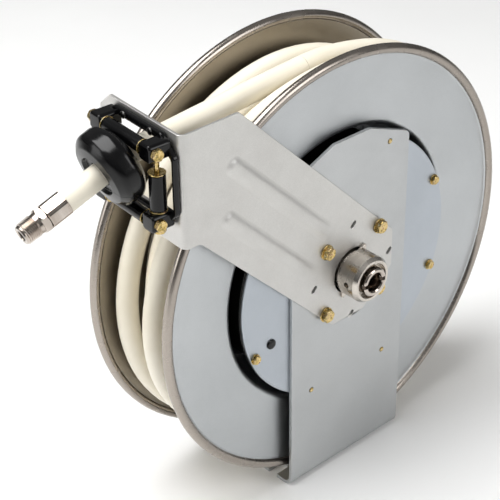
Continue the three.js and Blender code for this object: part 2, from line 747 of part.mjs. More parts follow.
function makeHoseLead() {
  const route = new THREE.CatmullRomCurve3([
    new THREE.Vector3(8.2, -104.5, 197.6),
    new THREE.Vector3(9.3, -137, 196.4),
    new THREE.Vector3(10.7, -169, 195.2),
    new THREE.Vector3(12.2, -198, 194),
    alongHose(-16.5),
    alongHose(-9.5),
    alongHose(-2.5),
    alongHose(12),
    alongHose(32),
    alongHose(HOSE_END - GAP),
  ]);
  const section = new THREE.Shape();
  section.absarc(0, 0, HOSE_RADIUS, 0, 2 * Math.PI, false);
  const options = { steps: 16, curveSegments: 6, bevelEnabled: false, extrudePath: route };
  const tube = new THREE.ExtrudeGeometry(section, options);
  return part('hose_lead', tube, hoseRubber);
}

// The halves are bolted together from below, so the upper one is plain.
function stopHalf(side) {
  const hole = HOSE_RADIUS + 0.6;
  const outline = [[hole, -STOP_HALF + 1]];
  for (let i = 0; i <= 8; i += 1) {
    const angle = -72 + (144 * i) / 8;
    const spot = polar(1, angle);
    const along = Math.sign(spot.y) * Math.abs(spot.y) ** 0.8;
    outline.push([STOP_RADIUS * spot.x ** 0.7, (STOP_HALF + 1) * along]);
  }
  outline.push([hole, STOP_HALF - 1]);
  const whole = toSolid(turned(outline, 26));
  const keep = side > 0 ? block(-30, 30, -50, 50, GAP / 2, 50) : block(-30, 30, -50, 50, -50, -GAP / 2);
  let half = whole.intersect(toSolid(keep));
  for (const y of [-STOP_SCREW_REACH, STOP_SCREW_REACH]) {
    half = half.subtract(toSolid(pinZ(2.7, -40, 20, 0, y, 10)));
    if (side < 0) {
      half = half.subtract(toSolid(pinZ(5.2, -40, -14, 0, y, 12)));
    }
  }
  return layOnHose(toGeometry(half));
}

function makeStopScrew(number, y) {
  const head = pinZ(4.6, -19, -14.3, 0, y, 12);
  const shank = pinZ(2.4, -15, 17, 0, y, 10);
  return part(`stop_screw_${number}`, layOnHose(combine(head, [shank])), zincYellow);
}

function makeFerrule() {
  const end = HOSE_END + FERRULE_LENGTH;
  const sleeve = plateX(hexagon(0, 0, 22.6), HOSE_END, end);
  const bore = pinX(7, HOSE_END - 1, end + 1, 0, 0, 16);
  return part('hose_ferrule', layOnHose(combine(sleeve, [], [bore])), turnedSteel);
}

function makeFitting() {
  const start = HOSE_END + FERRULE_LENGTH + GAP;
  const collar = start + 7;
  const end = collar + 19;
  const outline = [
    [4.8, start - 16],
    [6.6, start - 16],
    [6.6, start],
    [11, start],
    [12.2, start + 1.2],
    [12.2, collar - 1.2],
    [11, collar],
    [10.4, collar],
  ];
  const threads = 5;
  const pitch = 2.4;
  const first = end - 2 - threads * pitch;
  for (let i = 0; i < threads; i += 1) {
    const crest = 10.5 - i * 0.12;
    outline.push([crest - 1, first + i * pitch], [crest, first + (i + 0.5) * pitch]);
  }
  outline.push([8.4, end], [5.6, end], [4.8, end - 1]);
  return part('hose_fitting', layOnHose(turned(outline, 18)), turnedSteel);
}

// ---- four-roller guide, drawn in the front plate's own directions ----
const frontPlate = new THREE.Group();
frontPlate.rotation.z = Math.PI - PLATE_TURN;
frontPlate.position.set(ARM_OUTER, ARM_CORNER_Y, 0);

function makeGuideFrame() {
  const base = plateY(cutRectangle(GUIDE_S, GUIDE_Z, 53, 46, 18), GAP, GUIDE_BASE);
  const lugs = [];
  const cuts = [plateY(cutRectangle(GUIDE_S, GUIDE_Z, 48.5, 38.5, 14), -1, GUIDE_BASE + 1)];
  for (const sideS of [-1, 1]) {
    for (const sideZ of [-1, 1]) {
      const s = GUIDE_S + sideS * CORNER_S;
      const z = GUIDE_Z + sideZ * CORNER_Z;
      lugs.push(plateY(cutRectangle(s, z, 8.5, 8.5, 2.5), 1, LEVEL_AXLE_OUT + 6.5));
      cuts.push(pinZ(AXLE_RADIUS + 0.4, z - 20, z + 20, s, UPRIGHT_AXLE_OUT, 12));
      cuts.push(pinX(AXLE_RADIUS + 0.4, s - 20, s + 20, LEVEL_AXLE_OUT, z, 12));
    }
  }
  let solid = toSolid(base).subtract(toSolid(cuts[0]));
  for (const lug of lugs) {
    solid = solid.add(toSolid(lug));
  }
  for (const cut of cuts.slice(1)) {
    solid = solid.subtract(toSolid(cut));
  }
  return part('guide_frame', toGeometry(solid), blackPlastic);
}

function makeGuideScrew(number, sideS, sideZ) {
  const s = GUIDE_S + sideS * 20;
  const z = GUIDE_Z + sideZ * 42;
  const head = pinY(3.6, GUIDE_BASE + GAP, GUIDE_BASE + 2.6, s, z, 12);
  return part(`guide_screw_${number}`, head, zincYellow);
}

// A roller lies on the X axis, its middle at the origin, bored for its axle and turned down at the ends.
function rollerSolid(size) {
  const half = size.length / 2;
  const bore = AXLE_RADIUS + 0.4;
  const outline = [
    [bore, -half],
    [size.radius - 1.2, -half],
    [size.radius, -half + 1.2],
    [size.radius, half - 1.2],
    [size.radius - 1.2, half],
    [bore, half],
  ];
  return turned(outline, 18);
}

// An axle bolt along X: hex head at the low end, plain shank up to the given reach.
function axleBolt(halfSpan, reach) {
  const head = chamferedHex(0, 0, 10.5, 0, 4.4);
  head.rotateZ(Math.PI);
  head.translate(-halfSpan, 0, 0);
  const shank = pinX(AXLE_RADIUS, -halfSpan - 1, reach, 0, 0, 12);
  return combine(shank, [head]);
}

function makeLevelSet(label, sideZ) {
  const z = GUIDE_Z + sideZ * CORNER_Z;
  const roller = rollerSolid(LEVEL_ROLLER);
  roller.translate(GUIDE_S, LEVEL_AXLE_OUT, z);
  const halfSpan = CORNER_S + 8.5 + GAP;
  const nut = chamferedHex(0, 0, 10.5, halfSpan, halfSpan + 4.4);
  const axle = combine(axleBolt(halfSpan, halfSpan + 6), [nut]);
  axle.translate(GUIDE_S, LEVEL_AXLE_OUT, z);
  return [part(`roller_${label}`, roller, blackPlastic), part(`roller_axle_${label}`, axle, zincYellow)];
}

function makeUprightSet(label, sideS) {
  const s = GUIDE_S + sideS * CORNER_S;
  const roller = rollerSolid(UPRIGHT_ROLLER);
  roller.rotateY(-Math.PI / 2);
  roller.translate(s, UPRIGHT_AXLE_OUT, GUIDE_Z - CORNER_Z + 8.5 + GAP + UPRIGHT_ROLLER.length / 2);
  const axle = axleBolt(CORNER_Z + 8.5 + GAP, CORNER_Z + 8);
  axle.rotateY(-Math.PI / 2);
  axle.translate(s, UPRIGHT_AXLE_OUT, GUIDE_Z);
  return [part(`roller_${label}`, roller, blackPlastic), part(`roller_axle_${label}`, axle, zincYellow)];
}

// ---- assembly ----
const atAxis = new THREE.Group();
atAxis.position.z = AXIS_HEIGHT;
atAxis.add(makeSpringCase(), makeCover(), makeCoverPlug(), makePowerSpring());
COVER_SCREW_ANGLES.forEach((degrees, i) => atAxis.add(makeCoverScrew(i + 1, degrees)));
POST_SCREW_ANGLES.forEach((degrees, i) => atAxis.add(makePostScrew(i + 1, degrees)));
QUARTERS.forEach((degrees, i) => atAxis.add(makeArmBolt(i + 1, degrees)));
atAxis.add(makeGuideArm(), makeBearingFlange(), makeCaseBushing(), makePawlPin(), makePawl());
atAxis.add(makeShaft(), makeSwivelCollar(), makeInletTube(), makeNearDisc(), makeFarDisc());
atAxis.add(makeHubPlate(), makeHub(), makeArbor(), makeRatchetWheel(), makeOutletRiser());
QUARTERS.forEach((degrees, i) => atAxis.add(makeHubScrew(i + 1, degrees)));
atAxis.add(makeWinding(), makeHoseLead());
atAxis.add(part('stop_upper', stopHalf(1), blackPlastic), part('stop_lower', stopHalf(-1), blackPlastic));
atAxis.add(makeStopScrew(1, -STOP_SCREW_REACH), makeStopScrew(2, STOP_SCREW_REACH));
atAxis.add(makeFerrule(), makeFitting());

frontPlate.add(makeGuideFrame());
[[-1, 1], [1, 1], [-1, -1], [1, -1]].forEach(([sideS, sideZ], i) => {
  frontPlate.add(makeGuideScrew(i + 1, sideS, sideZ));
});
frontPlate.add(...makeLevelSet('top', 1), ...makeLevelSet('bottom', -1));
frontPlate.add(...makeUprightSet('near', -1), ...makeUprightSet('far', 1));
atAxis.add(frontPlate);

const group = new THREE.Group();
group.add(makeStand(), atAxis);
export default group;
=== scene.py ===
import bisect
import math

import bmesh
import bpy
from mathutils import Matrix, Vector


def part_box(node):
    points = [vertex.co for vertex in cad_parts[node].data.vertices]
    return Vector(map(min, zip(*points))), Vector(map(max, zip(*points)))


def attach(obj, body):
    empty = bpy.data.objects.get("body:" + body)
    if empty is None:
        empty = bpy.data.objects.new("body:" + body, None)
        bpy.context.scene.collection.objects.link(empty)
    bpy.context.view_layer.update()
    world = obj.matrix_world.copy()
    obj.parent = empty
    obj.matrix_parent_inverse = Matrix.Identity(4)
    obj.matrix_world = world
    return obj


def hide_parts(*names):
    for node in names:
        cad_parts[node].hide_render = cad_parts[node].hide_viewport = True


# A spring-rewind hose reel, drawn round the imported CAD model.
# Shapes are in millimetres until piece() or hose_run() places them.
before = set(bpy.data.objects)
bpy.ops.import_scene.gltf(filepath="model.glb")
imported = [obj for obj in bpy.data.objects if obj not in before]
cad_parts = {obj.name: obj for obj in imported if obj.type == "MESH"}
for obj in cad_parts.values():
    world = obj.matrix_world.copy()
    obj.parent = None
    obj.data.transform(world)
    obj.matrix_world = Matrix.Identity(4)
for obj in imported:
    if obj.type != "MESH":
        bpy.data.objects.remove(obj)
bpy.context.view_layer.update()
scene = bpy.context.scene
scene.view_settings.view_transform = "Standard"
MM = 0.001


def extent(node):
    """The lowest and highest corner of a CAD node, in millimetres."""
    low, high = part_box(node)
    return Vector(low) / MM, Vector(high) / MM


disc_low, disc_high = extent("near_disc")
AXIS_Z = (disc_low.z + disc_high.z) / 2
DISC_R = (disc_high.z - disc_low.z) / 2
BEAD_R = 5.0
RIM_X = disc_high.x - BEAD_R
DRUM_R = 148.0
stand_low, stand_high = extent("stand")
POST_X = stand_high.x
HALF_Y = stand_high.y
cover_low, cover_high = extent("case_cover")
ARM_X = 71.15
PLATE_Y = -212.0
PLATE_TURN = math.radians(3.5)
COLLAR_FRONT = extent("swivel_collar")[1].x
INLET_FRONT = extent("inlet_tube")[1].x
HOSE_R = 11.0


# ---- camera ----
def place_camera():
    data = bpy.data.cameras.new("camera")
    data.lens = 110.8
    data.sensor_width = 36.0
    data.clip_end = 100.0
    camera = bpy.data.objects.new("camera", data)
    bearing, dip, roll = math.radians(41.821), math.radians(32.257), math.radians(-0.788)
    forward = Vector((-math.cos(bearing) * math.cos(dip), math.sin(bearing) * math.cos(dip), -math.sin(dip)))
    right = Vector((math.sin(bearing), math.cos(bearing), 0.0))
    up = right.cross(forward)
    side = right * math.cos(roll) + up * math.sin(roll)
    top = up * math.cos(roll) - right * math.sin(roll)
    turn = Matrix((side, top, -forward)).transposed().to_4x4()
    camera.matrix_world = Matrix.Translation((0.957, -0.9283, 1.0702)) @ turn
    scene.collection.objects.link(camera)
    scene.camera = camera


place_camera()


# ---- materials ----
def rgb(red, green, blue):
    """A colour as seen on screen, 0 to 255, as the shader's linear values."""
    linear = []
    for value in (red, green, blue):
        value /= 255
        linear.append(value / 12.92 if value <= 0.04045 else ((value + 0.055) / 1.055) ** 2.4)
    return (*linear, 1.0)


class Finish:
    """A node material under construction, in the piece's own coordinates."""

    def __init__(self, name, metallic, **sockets):
        self.material = bpy.data.materials.new(name)
        self.material.use_nodes = True
        self.tree = self.material.node_tree
        self.shader = self.tree.nodes["Principled BSDF"]
        self.shader.inputs["Metallic"].default_value = metallic
        for socket, value in sockets.items():
            self.shader.inputs[socket.replace("_", " ")].default_value = value
        self.place = self.node("ShaderNodeTexCoord").outputs["Object"]

    def node(self, kind, inputs=None, **settings):
        made = self.tree.nodes.new(kind)
        for key, value in settings.items():
            setattr(made, key, value)
        for key, value in (inputs or {}).items():
            if isinstance(value, bpy.types.NodeSocket):
                self.tree.links.new(value, made.inputs[key])
            else:
                made.inputs[key].default_value = value
        return made

    def noise(self, scale, detail=4.0, vector=None, roughness=0.55):
        inputs = {"Vector": vector or self.place, "Scale": scale, "Detail": detail, "Roughness": roughness}
        return self.node("ShaderNodeTexNoise", inputs).outputs["Fac"]

    def turned(self):
        """Coordinates that only change with the radius and the place along the lathe's axis, local Z."""
        flat = self.node("ShaderNodeVectorMath", {0: self.place, 1: (1, 1, 0)}, operation="MULTIPLY")
        length = self.node("ShaderNodeVectorMath", {0: flat.outputs["Vector"]}, operation="LENGTH")
        radius = length.outputs["Value"]
        height = self.node("ShaderNodeSeparateXYZ", {0: self.place}).outputs["Z"]
        return self.node("ShaderNodeCombineXYZ", {"X": radius, "Y": height}).outputs["Vector"]

    def ramp(self, value, *stops):
        ramp = self.node("ShaderNodeValToRGB", {"Fac": value})
        elements = ramp.color_ramp.elements
        while len(elements) < len(stops):
            elements.new(0.5)
        for element, (position, colour) in zip(elements, stops):
            element.position = position
            element.color = colour
        return ramp.outputs["Color"]

    def span(self, value, low, high, start=0.3, end=0.7):
        inputs = {"Value": value, "From Min": start, "From Max": end, "To Min": low, "To Max": high}
        return self.node("ShaderNodeMapRange", inputs).outputs["Result"]

    def mix(self, factor, first, second):
        made = self.node("ShaderNodeMix", data_type="RGBA")
        for socket, value in zip((0, 6, 7), (factor, first, second)):
            if isinstance(value, bpy.types.NodeSocket):
                self.tree.links.new(value, made.inputs[socket])
            else:
                made.inputs[socket].default_value = value
        return made.outputs[2]

    def edge(self, radius):
        """1 along sharp edges, 0 on flat faces."""
        soft = self.node("ShaderNodeBevel", {"Radius": radius}, samples=6).outputs["Normal"]
        hard = self.node("ShaderNodeNewGeometry").outputs["Normal"]
        match = self.node("ShaderNodeVectorMath", {0: soft, 1: hard}, operation="DOT_PRODUCT")
        return self.span(match.outputs["Value"], 0.0, 1.0, 0.99, 0.85)

    def bump(self, height, strength, distance=0.0002):
        inputs = {"Height": height, "Strength": strength, "Distance": distance}
        return self.node("ShaderNodeBump", inputs).outputs["Normal"]

    def done(self, colour, roughness, normal):
        self.tree.links.new(colour, self.shader.inputs["Base Color"])
        self.tree.links.new(roughness, self.shader.inputs["Roughness"])
        self.tree.links.new(normal, self.shader.inputs["Normal"])
        return self.material


def sheet_metal(name, dark, light, rough, grain=1400.0, bump=0.25, edge_lift=0.35):
    """Satin sheet: broad clouding, fine rolled or blasted grain, brighter along its edges."""
    finish = Finish(name, 1.0)
    cloud = finish.noise(7.0, 5.0)
    colour = finish.ramp(cloud, (0.3, dark), (0.7, light))
    fine = finish.noise(grain, 2.0)
    blotch = finish.noise(55.0, 6.0, roughness=0.7)
    colour = finish.mix(finish.span(fine, 0.0, 0.16), colour, rgb(120, 120, 118))
    # Lighter toward near-white along sharp edges, in noisy patches.
    edge_mask = finish.edge(0.0012)
    edge_patches = finish.span(blotch, 0.2, edge_lift * 2)
    lighter_edges = finish.node("ShaderNodeMath", {0: edge_mask, 1: edge_patches}, operation="MULTIPLY").outputs[0]
    colour = finish.mix(lighter_edges, colour, rgb(232, 230, 226))
    gloss = finish.span(blotch, rough - 0.07, rough + 0.07)
    return finish.done(colour, gloss, finish.bump(fine, bump))


def lathe_metal(name, dark, light, rough, bump=0.35, pitch=2600.0):
    """Turned or spun metal, with fine rings left by the tool."""
    finish = Finish(name, 1.0)
    rings = finish.noise(pitch, 3.0, vector=finish.turned(), roughness=0.8)
    broad = finish.noise(90.0, 2.0, vector=finish.turned())
    smudge = finish.noise(40.0, 6.0)
    colour = finish.ramp(broad, (0.3, dark), (0.7, light))
    colour = finish.mix(finish.span(rings, 0.0, 0.25), colour, dark)
    gloss = finish.span(smudge, rough - 0.05, rough + 0.09)
    return finish.done(colour, gloss, finish.bump(rings, bump, 0.0001))


def rubber_hose():
    """Cream hose cover: a little scuffed and handled, with a faint lengthwise mottling."""
    finish = Finish("hose_cover", 0.0, Specular_IOR_Level=0.45, Sheen_Weight=0.08)
    broad = finish.noise(9.0, 4.0)
    colour = finish.ramp(broad, (0.3, rgb(234, 226, 206)), (0.7, rgb(243, 237, 222)))
    scuff = finish.noise(120.0, 8.0, roughness=0.75)
    colour = finish.mix(finish.span(scuff, 0.0, 0.5, 0.62, 0.8), colour, rgb(196, 180, 148))
    fine = finish.noise(700.0, 3.0)
    return finish.done(colour, finish.span(scuff, 0.36, 0.5), finish.bump(fine, 0.25))


def black_plastic(name, rough):
    finish = Finish(name, 0.0, Specular_IOR_Level=0.32)
    cloud = finish.noise(25.0, 5.0)
    colour = finish.ramp(cloud, (0.3, rgb(3, 3, 4)), (0.7, rgb(9, 9, 10)))
    dust = finish.noise(420.0, 4.0, roughness=0.8)
    colour = finish.mix(finish.span(dust, 0.0, 0.3, 0.68, 0.88), colour, rgb(56, 54, 51))
    fine = finish.noise(500.0, 3.0)
    return finish.done(colour, finish.span(cloud, rough, rough + 0.1), finish.bump(fine, 0.08))


def yellow_zinc():
    """Chromate plating: gold with pink and green patches; its near-white patches are painted highlights."""
    finish = Finish("yellow_zinc", 1.0)
    film_and_glints = finish.noise(260.0, 3.0, roughness=0.6)
    stops = (
        (0.3, rgb(142, 90, 72)),
        (0.42, rgb(222, 200, 148)),
        (0.52, rgb(198, 170, 104)),
        (0.62, rgb(130, 118, 74)),
        # The near-white stop is a painted highlight.
        (0.74, rgb(244, 232, 196)),
    )
    colour = finish.ramp(film_and_glints, *stops)
    fine = finish.noise(900.0, 3.0)
    return finish.done(colour, finish.span(fine, 0.2, 0.36), finish.bump(fine, 0.2))


DISC_STEEL = sheet_metal("disc_steel", rgb(184, 187, 189), rgb(198, 201, 203), 0.4)
# Faces between the discs: a darker, warmer copy of the disc steel, painted shade and a painted reflection of
# the hose.
SHADED_INNER_STEEL = sheet_metal("disc_inner_painted_shade", rgb(150, 141, 127), rgb(168, 159, 144), 0.38)
# The rolled rim: a glossier copy of the disc steel whose darker taupe colour is a painted reflection.
REFLECTION_RIM_STEEL = lathe_metal("rim_painted_reflection", rgb(150, 142, 134), rgb(182, 174, 166), 0.24, bump=0.2)
PLATE_STEEL = sheet_metal("plate_steel", rgb(203, 201, 198), rgb(214, 213, 210), 0.46, bump=0.35)
POST_STEEL = sheet_metal("post_steel", rgb(186, 188, 189), rgb(200, 202, 203), 0.44)
COVER_STEEL = sheet_metal("cover_steel", rgb(180, 186, 193), rgb(191, 197, 204), 0.42)
# Near-black finish for the spring case: painted shadow, so the gap round the cover reads black.
SHADOW_CASE_STEEL = sheet_metal("case_steel_painted_shadow", rgb(28, 27, 26), rgb(40, 38, 37), 0.5)
TURNED_STEEL = lathe_metal("turned_steel", rgb(176, 168, 158), rgb(218, 212, 204), 0.24)
BRIGHT_STEEL = lathe_metal("bright_steel", rgb(176, 164, 154), rgb(208, 200, 192), 0.14, bump=0.15)
SPRING_STEEL = sheet_metal("blue_spring_steel", rgb(70, 74, 82), rgb(96, 98, 104), 0.35)
BRASS = lathe_metal("bushing_brass", rgb(166, 126, 62), rgb(196, 156, 84), 0.3)
ZINC = yellow_zinc()
PLASTIC = black_plastic("black_plastic", 0.12)
STOP_RUBBER = black_plastic("stop_rubber", 0.14)
HOSE = rubber_hose()
BLACKENED = sheet_metal("blackened_rivets", rgb(18, 18, 19), rgb(30, 29, 28), 0.34)


# ---- mesh helpers ----
def polar(radius, degrees):
    return radius * math.cos(math.radians(degrees)), radius * math.sin(math.radians(degrees))


def arc(centre, radius, start, end, steps):
    points = []
    for i in range(steps + 1):
        across, along = polar(radius, start + (end - start) * i / steps)
        points.append((centre[0] + across, centre[1] + along))
    return points


def rounded(corners, radii, steps=5):
    """A closed outline with its corners rounded, by one radius or by one for each corner; 0 stays sharp."""
    if not hasattr(radii, "__len__"):
        radii = [radii] * len(corners)
    outline = []
    for i, (corner, radius) in enumerate(zip(corners, radii)):
        here = Vector(corner)
        back = Vector(corners[i - 1]) - here
        ahead = Vector(corners[(i + 1) % len(corners)]) - here
        angle = back.angle(ahead) if radius else math.pi
        if angle > math.pi - 0.02:
            outline.append(tuple(here))
            continue
        reach = min(radius / math.tan(angle / 2), 0.49 * back.length, 0.49 * ahead.length)
        radius = reach * math.tan(angle / 2)
        centre = here + (back.normalized() + ahead.normalized()).normalized() * (radius / math.sin(angle / 2))
        first = here + back.normalized() * reach - centre
        last = here + ahead.normalized() * reach - centre
        sweep = math.pi - angle
        for step in range(steps + 1):
            t = step / steps
            spot = (first * math.sin((1 - t) * sweep) + last * math.sin(t * sweep)) / math.sin(sweep)
            outline.append(tuple(centre + spot))
    return outline


def skin(loops, closed=False):
    """Faces between loops of points of one count. A loop of a single point is a tip."""
    shape = bmesh.new()
    rows = [[shape.verts.new(point) for point in loop] for loop in loops]
    pairs = list(zip(rows, rows[1:]))
    if closed:
        pairs.append((rows[-1], rows[0]))
    for low, high in pairs:
        count = max(len(low), len(high))
        for i in range(count):
            j = (i + 1) % count
            corners = [low[i % len(low)], low[j % len(low)], high[j % len(high)], high[i % len(high)]]
            shape.faces.new(list(dict.fromkeys(corners)))
    bmesh.ops.recalc_face_normals(shape, faces=shape.faces)
    return shape


def circle(radius, height, segments):
    if radius < 1e-6:
        return [(0.0, 0.0, height)]
    return [(*polar(radius, 360 * i / segments), height) for i in range(segments)]


def revolve(profile, segments=96):
    """A solid turned about local Z from (radius, height) points: a ring unless it starts on the axis."""
    return skin([circle(r, h, segments) for r, h in profile], closed=profile[0][0] > 1e-6)


def hexagon_loop(flats, height, segments=48, limit=math.inf):
    """Points round a hexagon, its corners turned down to a limit. The height may depend on the radius."""
    loop = []
    for i in range(segments):
        degrees = 360 * i / segments
        radius = min(flats / 2 / math.cos(math.radians(degrees % 60 - 30)), limit)
        across, along = polar(radius, degrees)
        loop.append((across, along, height(radius) if callable(height) else height))
    return loop


def hex_head(flats, height, dish=0.25):
    """A hexagon head standing on local z = 0, chamfered round its top."""
    crown = flats * 0.48
    return skin([
        [(0, 0, 0)],
        hexagon_loop(flats, 0),
        hexagon_loop(flats, lambda radius: height - max(0, radius - crown) * 0.6),
        circle(crown, height, 48),
        circle(crown * 0.62, height - dish, 48),
        [(0, 0, height - dish)],
    ])


def add(shape, other, matrix=Matrix()):
    """Moves another shape's faces into this one."""
    other.transform(matrix)
    mesh = bpy.data.meshes.new("part")
    other.to_mesh(mesh)
    other.free()
    shape.from_mesh(mesh)
    bpy.data.meshes.remove(mesh)
    return shape


def temporary(shape):
    mesh = bpy.data.meshes.new("temporary")
    shape.to_mesh(mesh)
    shape.free()
    obj = bpy.data.objects.new("temporary", mesh)
    scene.collection.objects.link(obj)
    return obj


def combine(shape, others, operation):
    """The shape with others cut out of it or joined to it."""
    base = temporary(shape)
    tools = [temporary(other) for other in others]
    for tool in tools:
        step = base.modifiers.new("step", "BOOLEAN")
        step.operation = operation
        step.solver = "EXACT"
        step.object = tool
    mesh = bpy.data.meshes.new_from_object(base.evaluated_get(bpy.context.evaluated_depsgraph_get()))
    result = bmesh.new()
    result.from_mesh(mesh)
    bpy.data.meshes.remove(mesh)
    for obj in (base, *tools):
        data = obj.data
        bpy.data.objects.remove(obj)
        bpy.data.meshes.remove(data)
    return result


def sheet(outlines, thickness, bevel):
    """A flat plate about local z = 0 from an outline and its holes, with rounded edges."""
    curve = bpy.data.curves.new("outline", "CURVE")
    curve.dimensions = "2D"
    curve.fill_mode = "BOTH"
    curve.extrude = thickness / 2 - bevel
    curve.bevel_depth = bevel
    curve.bevel_resolution = 2
    curve.offset = -bevel
    for points in outlines:
        spline = curve.splines.new("POLY")
        spline.points.add(len(points) - 1)
        for spot, (across, along) in zip(spline.points, points):
            spot.co = (across, along, 0, 1)
        spline.use_cyclic_u = True
    obj = bpy.data.objects.new("outline", curve)
    scene.collection.objects.link(obj)
    mesh = bpy.data.meshes.new_from_object(obj.evaluated_get(bpy.context.evaluated_depsgraph_get()))
    shape = bmesh.new()
    shape.from_mesh(mesh)
    bpy.data.meshes.remove(mesh)
    bpy.data.objects.remove(obj)
    bpy.data.curves.remove(curve)
    bmesh.ops.remove_doubles(shape, verts=shape.verts, dist=1e-3)
    bmesh.ops.recalc_face_normals(shape, faces=shape.faces)
    return shape


def fold(shape, cuts, place):
    """Bends a flat sheet along local X, after cutting it across where the bend's facets meet."""
    for along in cuts:
        everything = shape.verts[:] + shape.edges[:] + shape.faces[:]
        bmesh.ops.bisect_plane(shape, geom=everything, dist=1e-4, plane_co=(along, 0, 0), plane_no=(1, 0, 0))
    for vert in shape.verts:
        vert.co = place(*vert.co)
    bmesh.ops.recalc_face_normals(shape, faces=shape.faces)
    return shape


GAP = 0.3
SCREW_CIRCLE = 134.4
ARM_BOLT_CIRCLE = 51.5
HUB_BOLT_CIRCLE = 45
QUARTERS = (45, 135, 225, 315)
POST_SCREW_ANGLES = (67.5, 112.5, 247.5, 292.5)
COVER_SCREW_ANGLES = (22.5, 157.5, 202.5, 337.5)
UPSIDE_DOWN = Matrix.Rotation(math.pi, 4, "X")
TO_X = Matrix(((0, 0, 1, 0), (1, 0, 0, 0), (0, 1, 0, 0), (0, 0, 0, 1)))
AXLE = Matrix.Translation((0, 0, AXIS_Z)) @ TO_X
PLATE = Matrix.Translation((ARM_X, PLATE_Y, AXIS_Z)) @ Matrix.Rotation(math.pi - PLATE_TURN, 4, "Z")


def beside_axle(x, radius, degrees):
    """The matrix that stands local Z along X at a place round the spool axis."""
    y, z = polar(radius, degrees)
    return Matrix.Translation((x, y, AXIS_Z + z)) @ TO_X


def piece(name, shape, finishes, body, nodes, place=None, sharp=32, paint=None):
    """Places a shape, ties it to its body and hides the CAD nodes it stands for."""
    mesh = bpy.data.meshes.new(name)
    shape.to_mesh(mesh)
    shape.free()
    mesh.transform(Matrix.Scale(MM, 4))
    finishes = finishes if isinstance(finishes, (list, tuple)) else [finishes]
    for finish in finishes:
        mesh.materials.append(finish)
    if paint:
        for face in mesh.polygons:
            face.material_index = paint(face.center / MM, face.normal)
    mesh.shade_smooth()
    mesh.set_sharp_from_angle(angle=math.radians(sharp))
    obj = bpy.data.objects.new(name, mesh)
    scene.collection.objects.link(obj)
    if place:
        obj.matrix_world = Matrix.Translation(place.translation * MM) @ place.to_3x3().to_4x4()
    even = obj.modifiers.new("even", "WEIGHTED_NORMAL")
    even.keep_sharp = True
    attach(obj, body)
    if nodes:
        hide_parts(*nodes)
    return obj


# ---- hose ----
def steady(stations):
    """A smooth function through (place, value) stations that never overshoots them."""
    places, values = zip(*stations)
    rises = [(v1 - v0) / (p1 - p0) for p0, p1, v0, v1 in zip(places, places[1:], values, values[1:])]
    slopes = [0.0]
    slopes += [0.0 if a * b <= 0 else 2 * a * b / (a + b) for a, b in zip(rises, rises[1:])]
    slopes.append(rises[-1])

    def value(place):
        i = min(max(bisect.bisect_right(places, place) - 1, 0), len(rises) - 1)
        width = places[i + 1] - places[i]
        t = (place - places[i]) / width
        start = values[i] * (1 + 2 * t) * (1 - t) ** 2 + slopes[i] * width * t * (1 - t) ** 2
        return start + values[i + 1] * t * t * (3 - 2 * t) + slopes[i + 1] * width * t * t * (t - 1)

    return value


# The wound hose as (degrees, x) and (degrees, radius), turning from the drum's outlet to the lead.
LAYERS = (159.3, 181.3, 203.3)
WOUND_FROM, WOUND_TO = 95, 3333
WOUND_X = steady([
    (WOUND_FROM, -36), (200, -39.6), (285, -39.6), (435, -13.2), (645, -13.2), (795, 13.2), (1005, 13.2),
    (1155, 39.6), (1695, 39.6), (1790, 16), (1875, 13.2), (2055, 13.2), (2150, -10), (2235, -13.2),
    (2415, -13.2), (2510, -33), (2640, -33), (2720, -36), (2820, -39.6), (2960, 35), (2975, 35.5),
    (2995, 31), (3030, 19), (3060, 9.5), (3095, -3), (3130, -14), (3150, -16.5), (3210, -12),
    (3250, -6), (3290, 2), (WOUND_TO, 8),
])
WOUND_R = steady([
    (WOUND_FROM, LAYERS[0]), (1355, LAYERS[0]), (1470, LAYERS[1]), (2510, LAYERS[1]), (2600, 190.5),
    (2640, 192), (2740, LAYERS[2]), (2815, LAYERS[2]), (2860, 201.3), (2900, 201.3), (2945, LAYERS[2]),
    (3170, LAYERS[2]), (3216, 220.5), (3276, 220.5), (3320, LAYERS[2]), (WOUND_TO, LAYERS[2]),
])
STOP_AT = PLATE @ Vector((56.0, 35.0, 187.35))
TILT = math.radians(20)
HOSE_AIM = PLATE.to_3x3() @ Vector((0, math.cos(TILT), 0)) + Vector((0, 0, -math.sin(TILT)))
AIM_TURN = Vector((1, 0, 0)).rotation_difference(HOSE_AIM).to_matrix().to_4x4()
HOSE_FRAME = Matrix.Translation(STOP_AT) @ AIM_TURN


def wound_path():
    points = []
    for degrees in range(WOUND_FROM, WOUND_TO, 4):
        y, z = polar(WOUND_R(degrees), degrees)
        points.append(Vector((WOUND_X(degrees), y, AXIS_Z + z)))
    y, z = polar(LAYERS[2], WOUND_TO)
    return points + [Vector((8, y, AXIS_Z + z))]


def smooth_through(knots, count):
    """Points spread evenly over a smooth curve through the knots."""
    lengths = [0.0]
    for a, b in zip(knots, knots[1:]):
        lengths.append(lengths[-1] + (b - a).length)
    slopes = [(knots[1] - knots[0]) / (lengths[1] - lengths[0])]
    for i in range(1, len(knots) - 1):
        slopes.append((knots[i + 1] - knots[i - 1]) / (lengths[i + 1] - lengths[i - 1]))
    slopes.append((knots[-1] - knots[-2]) / (lengths[-1] - lengths[-2]))
    points = []
    for step in range(count):
        at = lengths[-1] * step / (count - 1)
        i = min(max(bisect.bisect_right(lengths, at) - 1, 0), len(knots) - 2)
        width = lengths[i + 1] - lengths[i]
        t = (at - lengths[i]) / width
        spot = knots[i] * ((1 + 2 * t) * (1 - t) ** 2) + knots[i + 1] * (t * t * (3 - 2 * t))
        spot = spot + slopes[i] * (width * t * (1 - t) ** 2) + slopes[i + 1] * (width * t * t * (t - 1))
        points.append(spot)
    return points


